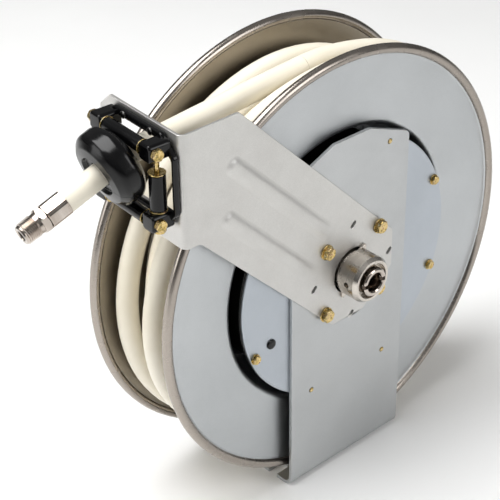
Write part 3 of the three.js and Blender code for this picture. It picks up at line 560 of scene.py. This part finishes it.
def lead_path(start):
    route = [(8.2, -104.5, 197.6), (9.3, -137, 196.4), (10.7, -169, 195.2), (12.2, -198, 194)]
    knots = [start, start + Vector((0.1, -47, -2.6))]
    knots += [Vector((x, y, AXIS_Z + z)) for x, y, z in route]
    knots += [STOP_AT + HOSE_AIM * reach for reach in (-16.5, -2.5, 12, 32, 51.7)]
    return smooth_through(knots, 40)


def hose_run(name, points, body, nodes):
    curve = bpy.data.curves.new(name, "CURVE")
    curve.dimensions = "3D"
    curve.bevel_depth = HOSE_R * MM
    curve.bevel_resolution = 8
    curve.use_fill_caps = True
    spline = curve.splines.new("POLY")
    spline.points.add(len(points) - 1)
    for spot, point in zip(spline.points, points):
        spot.co = (*(point * MM), 1)
    spline.use_smooth = True
    curve.materials.append(HOSE)
    obj = bpy.data.objects.new(name, curve)
    scene.collection.objects.link(obj)
    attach(obj, body)
    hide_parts(*nodes)
    return obj


wound = wound_path()
lead = lead_path(wound[-1])
wound_hose = hose_run("hose_on_drum", wound, "spool", ["hose_winding"])
lead_hose = hose_run("hose_lead_out", lead, "frame", ["hose_lead"])


# ---- hose end: stop, ferrule and threaded fitting ----
def stop_half(side):
    profile = rounded(
        [(11.6, -14.6), (28, -15.4), (37, -8), (37, 8), (29.5, 14.2), (20, 15.6), (18.2, 12.2), (11.6, 11.6)],
        [0.8, 7, 9, 9, 3.5, 1.2, 1, 0.8],
    )
    whole = revolve(profile, 96)
    whole.transform(TO_X)
    keep = bmesh.new()
    bmesh.ops.create_cube(keep, size=1.0)
    keep.transform(Matrix.Translation((0, 0, side * 30.15)) @ Matrix.Diagonal((90, 90, 60, 1)))
    half = combine(whole, [keep], "INTERSECT")
    if side > 0:
        return half
    holes = []
    for y in (-24, 24):
        hole = revolve([(0, -45), (5.2, -45), (5.2, -14), (2.7, -14), (2.7, 5), (0, 5)], 32)
        hole.transform(Matrix.Translation((0, y, 0)))
        holes.append(hole)
    return combine(half, holes, "DIFFERENCE")


def stop_piece(name, side, node):
    return piece(name, stop_half(side), STOP_RUBBER, "frame", [node], HOSE_FRAME)


stop_upper = stop_piece("stop_top_half", 1, "stop_upper")
stop_lower = stop_piece("stop_bottom_half", -1, "stop_lower")
for number, reach in ((1, -24), (2, 24)):
    profile = [(0, 14.3), (4.6, 14.3), (4.6, 17.6), (3.4, 18.9), (0, 18.9)]
    head = revolve(rounded(profile, [0, 0.3, 0.8, 0.8, 0]), 40)
    socket = skin([hexagon_loop(4.2, 17.2), hexagon_loop(4.2, 20)])
    bmesh.ops.holes_fill(socket, edges=socket.edges)
    place = HOSE_FRAME @ Matrix.Translation((0, reach, 0)) @ UPSIDE_DOWN
    shape = combine(head, [socket], "DIFFERENCE")
    node = f"stop_screw_{number}"
    screw = piece(f"stop_cap_screw_{number}", shape, ZINC, "frame", [node], place)

ALONG_HOSE = HOSE_FRAME @ TO_X
FERRULE_START = 52.0
FERRULE_END = 73.0
FITTING_START = FERRULE_END + GAP
FLATS = 22.4


def ferrule():
    crown = FLATS * 0.51

    def slope(end, sign):
        return lambda radius: end + sign * max(0, radius - crown) * 0.7

    outside = [
        circle(11.3, FERRULE_START, 96),
        circle(crown, FERRULE_START, 96),
        hexagon_loop(FLATS, slope(FERRULE_START, 1), 96, FLATS * 0.54),
        hexagon_loop(FLATS, slope(FERRULE_END, -1), 96, FLATS * 0.54),
        circle(crown, FERRULE_END, 96),
        circle(7.5, FERRULE_END, 96),
        circle(7.5, FERRULE_START + 3, 96),
        circle(11.3, FERRULE_START + 2, 96),
    ]
    return skin(outside, closed=True)


def fitting():
    crown = FLATS * 0.5
    collar_end = FITTING_START + 7
    end = collar_end + 19
    pitch = 1.814
    thread_start = collar_end + 3.2
    thread_end = end - 1.4
    loops = [
        circle(5.2, FITTING_START, 96),
        circle(crown * 0.94, FITTING_START, 96),
        hexagon_loop(FLATS, lambda radius: FITTING_START + 0.4 + max(0, radius - crown) * 0.7, 96),
        hexagon_loop(FLATS, lambda radius: collar_end - 0.6 - max(0, radius - crown) * 0.9, 96),
        circle(crown * 0.97, collar_end, 96),
        circle(9.9, collar_end, 96),
        circle(9.6, thread_start - 0.6, 96),
    ]
    rows = 64
    for row in range(rows + 1):
        height = thread_start + (thread_end - thread_start) * row / rows
        loop = []
        for i in range(96):
            wave = (height / pitch - i / 96) % 1.0
            depth = abs(2 * wave - 1)
            crest = 10.7 - (height - thread_start) / 32
            fade = min(1.0, row / 6, (rows - row) / 5)
            loop.append((*polar(crest - 1.1 * (1 - fade * (1 - depth)), 360 * i / 96), height))
        loops.append(loop)
    loops += [circle(8.6, end, 96), circle(5.9, end, 96), circle(5.2, end - 0.8, 96)]
    return skin(loops, closed=True)


def hose_end_piece(name, shape, node):
    return piece(name, shape, BRIGHT_STEEL, "frame", [node], ALONG_HOSE)


ferrule_piece = hose_end_piece("crimp_ferrule", ferrule(), "hose_ferrule")
fitting_piece = hose_end_piece("threaded_fitting", fitting(), "hose_fitting")


# ---- spool ----
LIP_R = 4.0
DISC_SHEET = 2


def pressed_half():
    """Rolled rim, flat web, and the turn into the drum, as (radius, x)."""
    bead = DISC_R - BEAD_R
    web = math.degrees(math.asin(DISC_SHEET / BEAD_R))
    lip = DRUM_R + LIP_R
    rim = arc((bead, RIM_X), BEAD_R, 168, -180 + web, 28)
    curl = [(bead - BEAD_R * 1.02 - 0.9, RIM_X + 0.5), (bead - BEAD_R - 1.6, RIM_X)]
    inner = [(bead - BEAD_R - 1.2, RIM_X - DISC_SHEET)]
    turn = RIM_X - DISC_SHEET - LIP_R
    outside = arc((lip, turn), LIP_R + DISC_SHEET, 180, 90, 12)
    inside = arc((lip, turn), LIP_R, 90, 180, 12)
    return curl[::-1] + rim + inner + inside + [(DRUM_R, 0.15), (DRUM_R - DISC_SHEET, 0.15)] + outside


def disc_paint(centre, normal):
    """0 on the outside; 1 between the discs, a darker, warmer copy painted with shade and the hose's
    reflection; 2 on the rolled rim, a darker taupe copy painted with reflections.
    """
    radius = math.hypot(centre.x, centre.y)
    if radius > DISC_R - 2 * BEAD_R - 0.4:
        return 2
    web = normal.z * (1 if centre.z < 0 else -1) > 0.3
    drum = radius < DRUM_R + LIP_R and centre.x * normal.x + centre.y * normal.y > 0
    return 1 if web or drum else 0


near = revolve(pressed_half(), 256)
far = revolve([(r, -x) for r, x in pressed_half()], 256)
DISC_FINISHES = [DISC_STEEL, SHADED_INNER_STEEL, REFLECTION_RIM_STEEL]
piece("near_pressed_disc", near, DISC_FINISHES, "spool", ["near_disc"], AXLE, 40, disc_paint)
piece("far_pressed_disc", far, DISC_FINISHES, "spool", ["far_disc"], AXLE, 40, disc_paint)

hub_plate = revolve(rounded([(32, -43), (145.7, -43), (145.7, -40), (32, -40)], 0.5, 3), 160)
piece("hub_disc", hub_plate, DISC_STEEL, "spool", ["hub_plate"], AXLE)
hub = revolve(
    rounded(
        [
            (15.3, -39), (31.7, -39), (31.7, -43.3), (55, -43.3), (55, -46),
            (29, -46), (27, -48), (25, -57), (15.3, -57),
        ],
        [0, 0, 0, 0.8, 0.8, 2, 1, 1.2, 1],
    ),
    128,
)
piece("hub_flange", hub, TURNED_STEEL, "spool", ["hub"], AXLE)
shaft = revolve(
    [
        (0, -60), (10.5, -60), (12, -59.6), (14.6, -58.2), (15, -57),
        (15, 79.2), (14.5, 79.65), (8, 79.65), (8, -30), (0, -30),
    ],
    96,
)
piece("axle", shaft, TURNED_STEEL, "spool", ["axle_shaft"], AXLE)
for number, degrees in enumerate(QUARTERS, 1):
    screw = add(hex_head(10, 4), revolve([(0, 0), (3, 0), (3, -6), (0, -6)], 24))
    place = beside_axle(-46.3, HUB_BOLT_CIRCLE, degrees) @ UPSIDE_DOWN @ Matrix.Rotation(number * 1.3, 4, "Z")
    piece(f"hub_bolt_{number}", screw, ZINC, "spool", [f"hub_screw_{number}"], place)

COLLAR_R = 24.5
collar_back = ARM_X + 3.6
collar = revolve(
    rounded(
        [
            (15.3, collar_back), (23.4, collar_back),
            (COLLAR_R, collar_back + 1.1), (COLLAR_R, COLLAR_FRONT - 4.0),
            (21.8, COLLAR_FRONT), (18.9, COLLAR_FRONT), (18.1, COLLAR_FRONT - 6), (15.3, COLLAR_FRONT - 6),
        ],
        [0, 0.3, 0.4, 0.3, 0.35, 0.4, 0.3, 0],
        3,
    ),
    144,
)
holes = []
for turn in range(3):
    hole = revolve([(0, 19.5), (3.1, 19.5), (3.1, 30), (0, 30)], 32)
    around = Matrix.Rotation(math.radians(180 + 120 * turn), 4, "Z")
    level = Matrix.Translation((0, 0, (collar_back + COLLAR_FRONT) / 2))
    hole.transform(around @ level @ Matrix.Rotation(math.pi / 2, 4, "Y"))
    holes.append(hole)
swivel = combine(collar, holes, "DIFFERENCE")
piece("swivel_body", swivel, TURNED_STEEL, "spool", ["swivel_collar"], AXLE)

tube = revolve(
    rounded(
        [
            (8, 79.95), (15, 79.95), (15, INLET_FRONT - 1.2), (13.8, INLET_FRONT), (11.2, INLET_FRONT),
            (10, INLET_FRONT - 1.2), (9.4, 86), (8, 86),
        ],
        [0, 0, 0.3, 0.3, 0.3, 0.3, 0, 0],
        3,
    ),
    128,
)
notch = bmesh.new()
bmesh.ops.create_cube(notch, size=1.0)
notch.transform(Matrix.Translation((0, 0, INLET_FRONT + 1)) @ Matrix.Diagonal((40, 4.4, 10, 1)))
nipple = combine(tube, [notch], "DIFFERENCE")
piece("inlet_nipple", nipple, BRIGHT_STEEL, "inlet", ["inlet_tube"], AXLE)


# ---- stand ----
# The bend from the post to the foot: its outer radius, and the radius and length of the sheet's middle.
FOOT_BEND = 12
FOOT_MIDDLE = 10.0
FOOT_TURN = FOOT_MIDDLE * math.pi / 2
FOOT_CENTRE_X = POST_X - FOOT_BEND
BEARING_HOLE = 25


def stand_place(u, v, w):
    """From the flat blank to the bent sheet: u runs down the post, round the bend and along the foot."""
    radius = FOOT_MIDDLE + w
    if u < 0:
        return Vector((FOOT_CENTRE_X + radius, v, FOOT_BEND - u))
    if u < FOOT_TURN:
        angle = u / FOOT_MIDDLE
        return Vector((FOOT_CENTRE_X + radius * math.cos(angle), v, FOOT_BEND - radius * math.sin(angle)))
    return Vector((FOOT_CENTRE_X - (u - FOOT_TURN), v, FOOT_BEND - radius))


def stand_outline():
    top = FOOT_BEND - stand_high.z
    shoulder = top + 22
    end = FOOT_TURN + FOOT_CENTRE_X - stand_low.x
    half_slot, reach = 5.5, HALF_Y - 20 + 5.5
    right = [(top, 24), (shoulder, HALF_Y)]
    radii = [6, 8]
    for slot_x in (39, -55):
        u = FOOT_TURN + FOOT_CENTRE_X - slot_x
        right += [(u - half_slot, HALF_Y), *arc((u, reach), half_slot, 180, 360, 10), (u + half_slot, HALF_Y)]
        radii += [1.0, *[0] * 11, 1.0]
    right.append((end, HALF_Y))
    radii.append(3)
    left = [(u, -v) for u, v in reversed(right)]
    return rounded(right + left, radii + radii[::-1])


def round_hole(centre, radius, steps=28):
    return arc(centre, radius, 0, 360 - 360 / steps, steps - 1)


blank = [stand_outline(), round_hole((FOOT_BEND - AXIS_Z, 0), BEARING_HOLE, 48)]
for degrees in POST_SCREW_ANGLES:
    y, z = polar(SCREW_CIRCLE, degrees)
    blank.append(round_hole((FOOT_BEND - AXIS_Z - z, y), 2.9))
stand = fold(sheet(blank, 4, 0.5), [FOOT_TURN * i / 8 for i in range(9)], stand_place)
piece("stand_sheet", stand, POST_STEEL, "frame", ["stand"], sharp=45)


# ---- guide arm ----
BEND_START = 204.559
BEND_RADIUS = 5.5
BEND_END = BEND_START + BEND_RADIUS * (math.pi / 2 + PLATE_TURN)
PLATE_ZERO = 206.093
ARM_MIDDLE = ARM_X - 1.5
SLOT_R = 2.2


def arm_place(u, v, w):
    """From the flat blank to the bent arm: u runs forward along the side leg, then across the front plate."""
    centre_x = ARM_MIDDLE - BEND_RADIUS
    if u < BEND_START:
        return Vector((ARM_MIDDLE + w, -u, AXIS_Z + v))
    angle = (min(u, BEND_END) - BEND_START) / BEND_RADIUS
    spot = Vector((
        centre_x + (BEND_RADIUS + w) * math.cos(angle),
        -BEND_START - (BEND_RADIUS + w) * math.sin(angle),
        AXIS_Z + v,
    ))
    if u > BEND_END:
        spot += Vector((-math.sin(angle), -math.cos(angle), 0)) * (u - BEND_END)
    return spot


def cut_corners(u, v, half_u, half_v, cut):
    """A rectangle with its corners cut off at 45 degrees."""
    near_u, far_u, near_v, far_v = u - half_u, u + half_u, v - half_v, v + half_v
    return [
        (far_u - cut, near_v), (far_u, near_v + cut), (far_u, far_v - cut), (far_u - cut, far_v),
        (near_u + cut, far_v), (near_u, far_v - cut), (near_u, near_v + cut), (near_u + cut, near_v),
    ]


def rib(offset, start, end):
    """A pressed rib with rounded flanks, standing on the arm's outer face and fading out toward the axle."""
    flanks = (
        (11.4, -0.6), (10.8, -0.02), (9.6, 0.08), (8.2, 0.35), (6.8, 0.85),
        (5.4, 1.45), (4.0, 1.95), (2.4, 2.2), (0.6, 2.25),
    )
    along, across = Vector((1, 1)) * math.sqrt(0.5), Vector((-1, 1)) * math.sqrt(0.5)
    loops = []
    for radius, rise in flanks:
        outline = arc((end, offset), radius, -90, 84, 14)
        outline += [(end + (start - end) * step / 36, offset + radius) for step in range(37)]
        outline += arc((start, offset), radius, 96, 264, 14)
        outline += [(start + (end - start) * step / 36, offset - radius) for step in range(36)]
        loop = []
        for t, s in outline:
            fade = min(1.0, max(0.0, (t - start + 8) / 34))
            lifted = rise * fade * fade * (3 - 2 * fade) + 0.03 if rise > 0 else rise
            loop.append((*(along * t + across * s), 1.5 + lifted))
        loops.append(loop)
    shape = skin(loops)
    bmesh.ops.holes_fill(shape, edges=shape.edges)
    bmesh.ops.recalc_face_normals(shape, faces=shape.faces)
    return shape


top, bottom, end = 226.0, 113.0, PLATE_ZERO + 121.0
arm_outline = rounded(
    [
        (145.4, top), (-57, 23.6), (-57, -18), (-17, -54), (26.6, -54), (193.6, bottom),
        (end - 15.9, bottom), (end, bottom + 14.1), (end, top - 14.1), (end - 15.9, top),
    ],
    [5, 5, 5, 4, 6, 8, 1.5, 1.5, 1.5, 1.5],
)
arm_blank = [arm_outline, round_hole((0, 0), BEARING_HOLE, 48)]
arm_blank.append(rounded(cut_corners(PLATE_ZERO + 56, 177.5, 46, 36, 12), 3))
for degrees in (0, 90, 180, 270):
    y, z = polar(52.5, degrees)
    lean = SLOT_R * math.sqrt(0.5)
    slot = arc((-y - lean, z + lean), SLOT_R, 45, 225, 8)
    slot += arc((-y + lean, z - lean), SLOT_R, 225, 405, 8)
    arm_blank.append(slot)
arm = combine(sheet(arm_blank, 3, 0.45), [rib(16, 60, 232), rib(-26, 58, 200)], "UNION")
arm = fold(arm, [BEND_START + (BEND_END - BEND_START) * i / 8 for i in range(9)], arm_place)
piece("guide_bracket", arm, PLATE_STEEL, "frame", ["guide_arm"], sharp=45)


# ---- spring case, cover and fasteners ----
COVER_R = 140
case_mouth = cover_low.x - GAP
case = revolve(
    [
        (24, 5), (128, 5), (128, case_mouth - 2), (COVER_R, case_mouth - 2),
        (COVER_R, case_mouth), (126, case_mouth), (126, 7), (24, 7),
    ],
    160,
)
# The housing's near-black finish is painted shadow for the gap round the cover.
piece("spring_housing", case, SHADOW_CASE_STEEL, "frame", ["spring_case"], AXLE)
back, front = cover_low.x, cover_high.x
cover_section = [(BEARING_HOLE, back), (COVER_R, back), (COVER_R, front), (BEARING_HOLE, front)]
cover = revolve(rounded(cover_section, [0.3, 0.8, 0.8, 0.3], 4), 224)
piece("spring_cover", cover, COVER_STEEL, "frame", ["case_cover"], AXLE)
plug_section = [(0, -4), (3.6, -4), (3.6, 0), (5.6, 0), (5.0, 1.4), (3, 2.0), (0, 2.0)]
plug = revolve(rounded(plug_section, [0, 0.5, 0, 0.3, 0.6, 0.5, 0]), 40)
place = beside_axle(cover_high.x + GAP, 112, 203)
piece("breather_plug", plug, PLASTIC, "frame", ["cover_plug"], place)
for number, degrees in enumerate(COVER_SCREW_ANGLES, 1):
    screw = hex_head(8.4, 3.8, 0.5)
    add(screw, revolve(rounded([(0, 0), (5.7, 0), (5.7, 0.9), (0, 1.1)], [0, 0.2, 0.3, 0]), 40))
    add(screw, revolve([(0, 0.2), (2.5, 0.2), (2.5, -7), (0, -7)], 24))
    place = beside_axle(cover_high.x + GAP, SCREW_CIRCLE, degrees) @ Matrix.Rotation(number * 0.9, 4, "Z")
    piece(f"cover_bolt_{number}", screw, ZINC, "frame", [f"cover_screw_{number}"], place)
for number, degrees in enumerate(POST_SCREW_ANGLES, 1):
    node = f"post_screw_{number}"
    rise = extent(node)[1].x - POST_X
    tip = [(0, -7), (2.5, -7), (2.5, 0), (2.3, rise * 0.45), (1.5, rise * 0.85), (0, rise)]
    place = beside_axle(POST_X, SCREW_CIRCLE, degrees)
    piece(f"post_bolt_end_{number}", revolve(tip, 32), ZINC, "frame", [node], place)
for number, degrees in enumerate(QUARTERS, 1):
    bolt = hex_head(12.5, 6.0, 0.6)
    add(bolt, revolve(rounded([(4.2, 0), (8, 0), (8, 1.4), (4.2, 1.4)], [0, 0.35, 0.35, 0], 3), 64))
    add(bolt, revolve([(0, 0.2), (4, 0.2), (4, -7.2), (0, -7.2)], 24))
    place = beside_axle(ARM_X + GAP, ARM_BOLT_CIRCLE, degrees) @ Matrix.Rotation(number * 0.7, 4, "Z")
    piece(f"bracket_bolt_{number}", bolt, ZINC, "frame", [f"arm_bolt_{number}"], place)

# The bearing's flange has two ears, one up and toward the back and one opposite.
ears = []
for degrees in range(0, 360, 3):
    swell = max(0.0, math.cos(math.radians(2 * (degrees - 58)))) ** 22
    ears.append(polar(22.8 + 6.6 * swell, degrees))
flange = sheet([ears, round_hole((0, 0), 15.4, 64)], 2.6, 0.4)
flange.transform(Matrix.Translation((0, 0, ARM_X + GAP + 1.3)))
back, front = cover_low.x - 2, ARM_X + 0.5
add(flange, revolve([(15.3, back), (22.5, back), (22.5, front), (15.3, front)], 96))
piece("bearing_retainer", flange, TURNED_STEEL, "frame", ["bearing_flange"], AXLE)


# ---- four-roller guide ----
GUIDE_S, GUIDE_Z = 56.0, 177.5
CORNER_S, CORNER_Z = 37.0, 34.5
LEVEL_OUT, UPRIGHT_OUT = 18.5, 12.5
LUG_HALF = 8.5
AXLE_R = 2.5
WASHER = 1.1
LEVEL_LENGTH, UPRIGHT_LENGTH = 56, 38


def facing_out(shape, low, high):
    """A plate drawn in (s, z) about z = 0, turned to lie between two depths in front of the arm's plate."""
    shape.transform(Matrix.Translation((0, (low + high) / 2, 0)) @ Matrix.Rotation(math.pi / 2, 4, "X"))
    return shape


def guide_body():
    rim = rounded(cut_corners(GUIDE_S, GUIDE_Z, 53, 46, 18), 5)
    window = rounded(cut_corners(GUIDE_S, GUIDE_Z, 48.5, 38.5, 14), 4)
    base = facing_out(sheet([rim, window], 5.7, 1.4), GAP, 6)
    lugs, holes = [], []
    for side_s in (-1, 1):
        for side_z in (-1, 1):
            s, z = GUIDE_S + side_s * CORNER_S, GUIDE_Z + side_z * CORNER_Z
            outline = rounded(cut_corners(s, z, LUG_HALF, LUG_HALF, 2.5), 3)
            lugs.append(facing_out(sheet([outline], 24, 2.2), 1, 25))
            upright = revolve([(0, -20), (2.9, -20), (2.9, 5), (0, 5)], 24)
            upright.transform(Matrix.Translation((s, UPRIGHT_OUT, z)))
            level = revolve([(0, -20), (2.9, -20), (2.9, 20), (0, 20)], 24)
            level.transform(Matrix.Translation((s, LEVEL_OUT, z)) @ TO_X)
            holes += [upright, level]
    return combine(combine(base, lugs, "UNION"), holes, "DIFFERENCE")


piece("roller_frame", guide_body(), PLASTIC, "frame", ["guide_frame"], PLATE, 40)


def roller(radius, length, washer):
    """A roller about local Z with a plated washer pressed on each end."""
    half = length / 2
    reach = half - WASHER
    section = [(2.9, -reach), (radius, -reach), (radius, reach), (2.9, reach)]
    body = revolve(rounded(section, [0, 1.3, 1.3, 0]), 72)
    for side in (-1, 1):
        inner, outer = side * (half - 1.0), side * half
        section = [(2.9, inner), (washer, inner), (washer, outer), (2.9, outer)]
        add(body, revolve(rounded(section, [0, 0.3, 0.3, 0], 3), 56))
    return body


def roller_piece(kind, label, shape, half, place):
    """Finishes a roller: black plastic, with a plated washer on each end."""
    def paint(centre, normal):
        return 1 if abs(centre.z) > half - 1.05 else 0

    name, body, nodes = f"{kind}_roller_{label}", f"{label}_roller", [f"roller_{label}"]
    piece(name, shape, [PLASTIC, ZINC], body, nodes, place, paint=paint)


def axle(span, reach):
    """An axle bolt about local Z: a hexagon head at the low end and a shank up to its reach."""
    tip = [(AXLE_R, reach - 0.4), (AXLE_R - 0.4, reach), (0, reach)]
    shank = revolve([(0, -span - 1), (AXLE_R, -span - 1), *tip], 32)
    return add(shank, hex_head(10.5, 4.4, 0.4), Matrix.Translation((0, 0, -span)) @ UPSIDE_DOWN)


for label, side in (("top", 1), ("bottom", -1)):
    place = PLATE @ Matrix.Translation((GUIDE_S, LEVEL_OUT, GUIDE_Z + side * CORNER_Z)) @ TO_X
    level = roller(6.75, LEVEL_LENGTH, 7.4)
    roller_piece("level", label, level, LEVEL_LENGTH / 2, place)
    span = CORNER_S + LUG_HALF + GAP
    bolt = add(axle(span, span + 6), hex_head(10.5, 4.4, 0.1), Matrix.Translation((0, 0, span)))
    piece(f"level_axle_{label}", bolt, ZINC, "frame", [f"roller_axle_{label}"], place)
for label, side in (("near", -1), ("far", 1)):
    roller_z = GUIDE_Z - CORNER_Z + LUG_HALF + GAP + UPRIGHT_LENGTH / 2
    stand_at = Matrix.Translation((GUIDE_S + side * CORNER_S, UPRIGHT_OUT, 0))
    place = PLATE @ stand_at @ Matrix.Translation((0, 0, roller_z))
    upright = roller(7.75, UPRIGHT_LENGTH, 8.2)
    roller_piece("upright", label, upright, UPRIGHT_LENGTH / 2, place)
    place = PLATE @ stand_at @ Matrix.Translation((0, 0, GUIDE_Z))
    bolt = axle(CORNER_Z + LUG_HALF + GAP, CORNER_Z + 4.6)
    piece(f"upright_axle_{label}", bolt, ZINC, "frame", [f"roller_axle_{label}"], place)
for number, (side_s, side_z) in enumerate(((-1, 1), (1, 1), (-1, -1), (1, -1)), 1):
    dome = revolve([(0, 0), (3.6, 0), (3.5, 0.5), (2.9, 0.9), (1.8, 1.2), (0, 1.3)], 40)
    spot = PLATE @ Matrix.Translation((GUIDE_S + side_s * 20, 6.3, GUIDE_Z + side_z * 42))
    spot = spot @ Matrix.Rotation(-math.pi / 2, 4, "X")
    piece(f"guide_rivet_{number}", dome, BLACKENED, "frame", [f"guide_screw_{number}"], spot)


# ---- hidden works, kept as CAD solids ----
for finish, names in (
    (SPRING_STEEL, ("power_spring", "spring_arbor", "ratchet_wheel", "pawl")),
    (TURNED_STEEL, ("pawl_pin", "outlet_riser")),
    (BRASS, ("case_bushing",)),
):
    for name in names:
        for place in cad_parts[name].material_slots:
            place.material = finish


# ---- floor and light ----
def pale_floor():
    mesh = bpy.data.meshes.new("floor")
    mesh.from_pydata([(-12, -12, 0), (12, -12, 0), (12, 12, 0), (-12, 12, 0)], [], [(0, 1, 2, 3)])
    floor = bpy.data.objects.new("floor", mesh)
    scene.collection.objects.link(floor)
    finish = Finish("pale_floor", 0.0, Specular_IOR_Level=0.2)
    cloud = finish.noise(3.0, 3.0)
    colour = finish.ramp(cloud, (0.3, rgb(248, 248, 247)), (0.7, rgb(252, 252, 251)))
    fine = finish.noise(300.0, 2.0)
    mesh.materials.append(finish.done(colour, finish.span(cloud, 0.7, 0.8), finish.bump(fine, 0.02)))


def softbox(name, spot, target, width, height, power):
    data = bpy.data.lights.new(name, "AREA")
    data.shape = "RECTANGLE"
    data.size, data.size_y = width, height
    data.energy = power
    light = bpy.data.objects.new(name, data)
    light.location = spot
    light.rotation_euler = (Vector(target) - Vector(spot)).to_track_quat("-Z", "Y").to_euler()
    scene.collection.objects.link(light)


def surroundings():
    """A pale room: bright overhead, grey round the sides."""
    world = bpy.data.worlds.new("room")
    scene.world = world
    world.use_nodes = True
    tree = world.node_tree
    place = tree.nodes.new("ShaderNodeTexCoord")
    split = tree.nodes.new("ShaderNodeSeparateXYZ")
    ramp = tree.nodes.new("ShaderNodeValToRGB")
    tree.links.new(place.outputs["Generated"], split.inputs[0])
    tree.links.new(split.outputs["Z"], ramp.inputs["Fac"])
    tree.links.new(ramp.outputs["Color"], tree.nodes["Background"].inputs["Color"])
    low, high = ramp.color_ramp.elements
    low.position, low.color = 0.0, (0.1, 0.1, 0.1, 1)
    high.position, high.color = 0.55, (0.34, 0.34, 0.34, 1)
    tree.nodes["Background"].inputs["Strength"].default_value = 0.7


pale_floor()
surroundings()
softbox("key", (-0.4, -0.7, 2.4), (0, 0, 0.25), 1.8, 1.8, 67)
softbox("left", (-0.9, -2.3, 1.1), (0, -0.1, 0.3), 1.2, 1.6, 17)
softbox("right", (2.2, 0.9, 1.5), (0, 0, 0.25), 1.2, 1.8, 23)
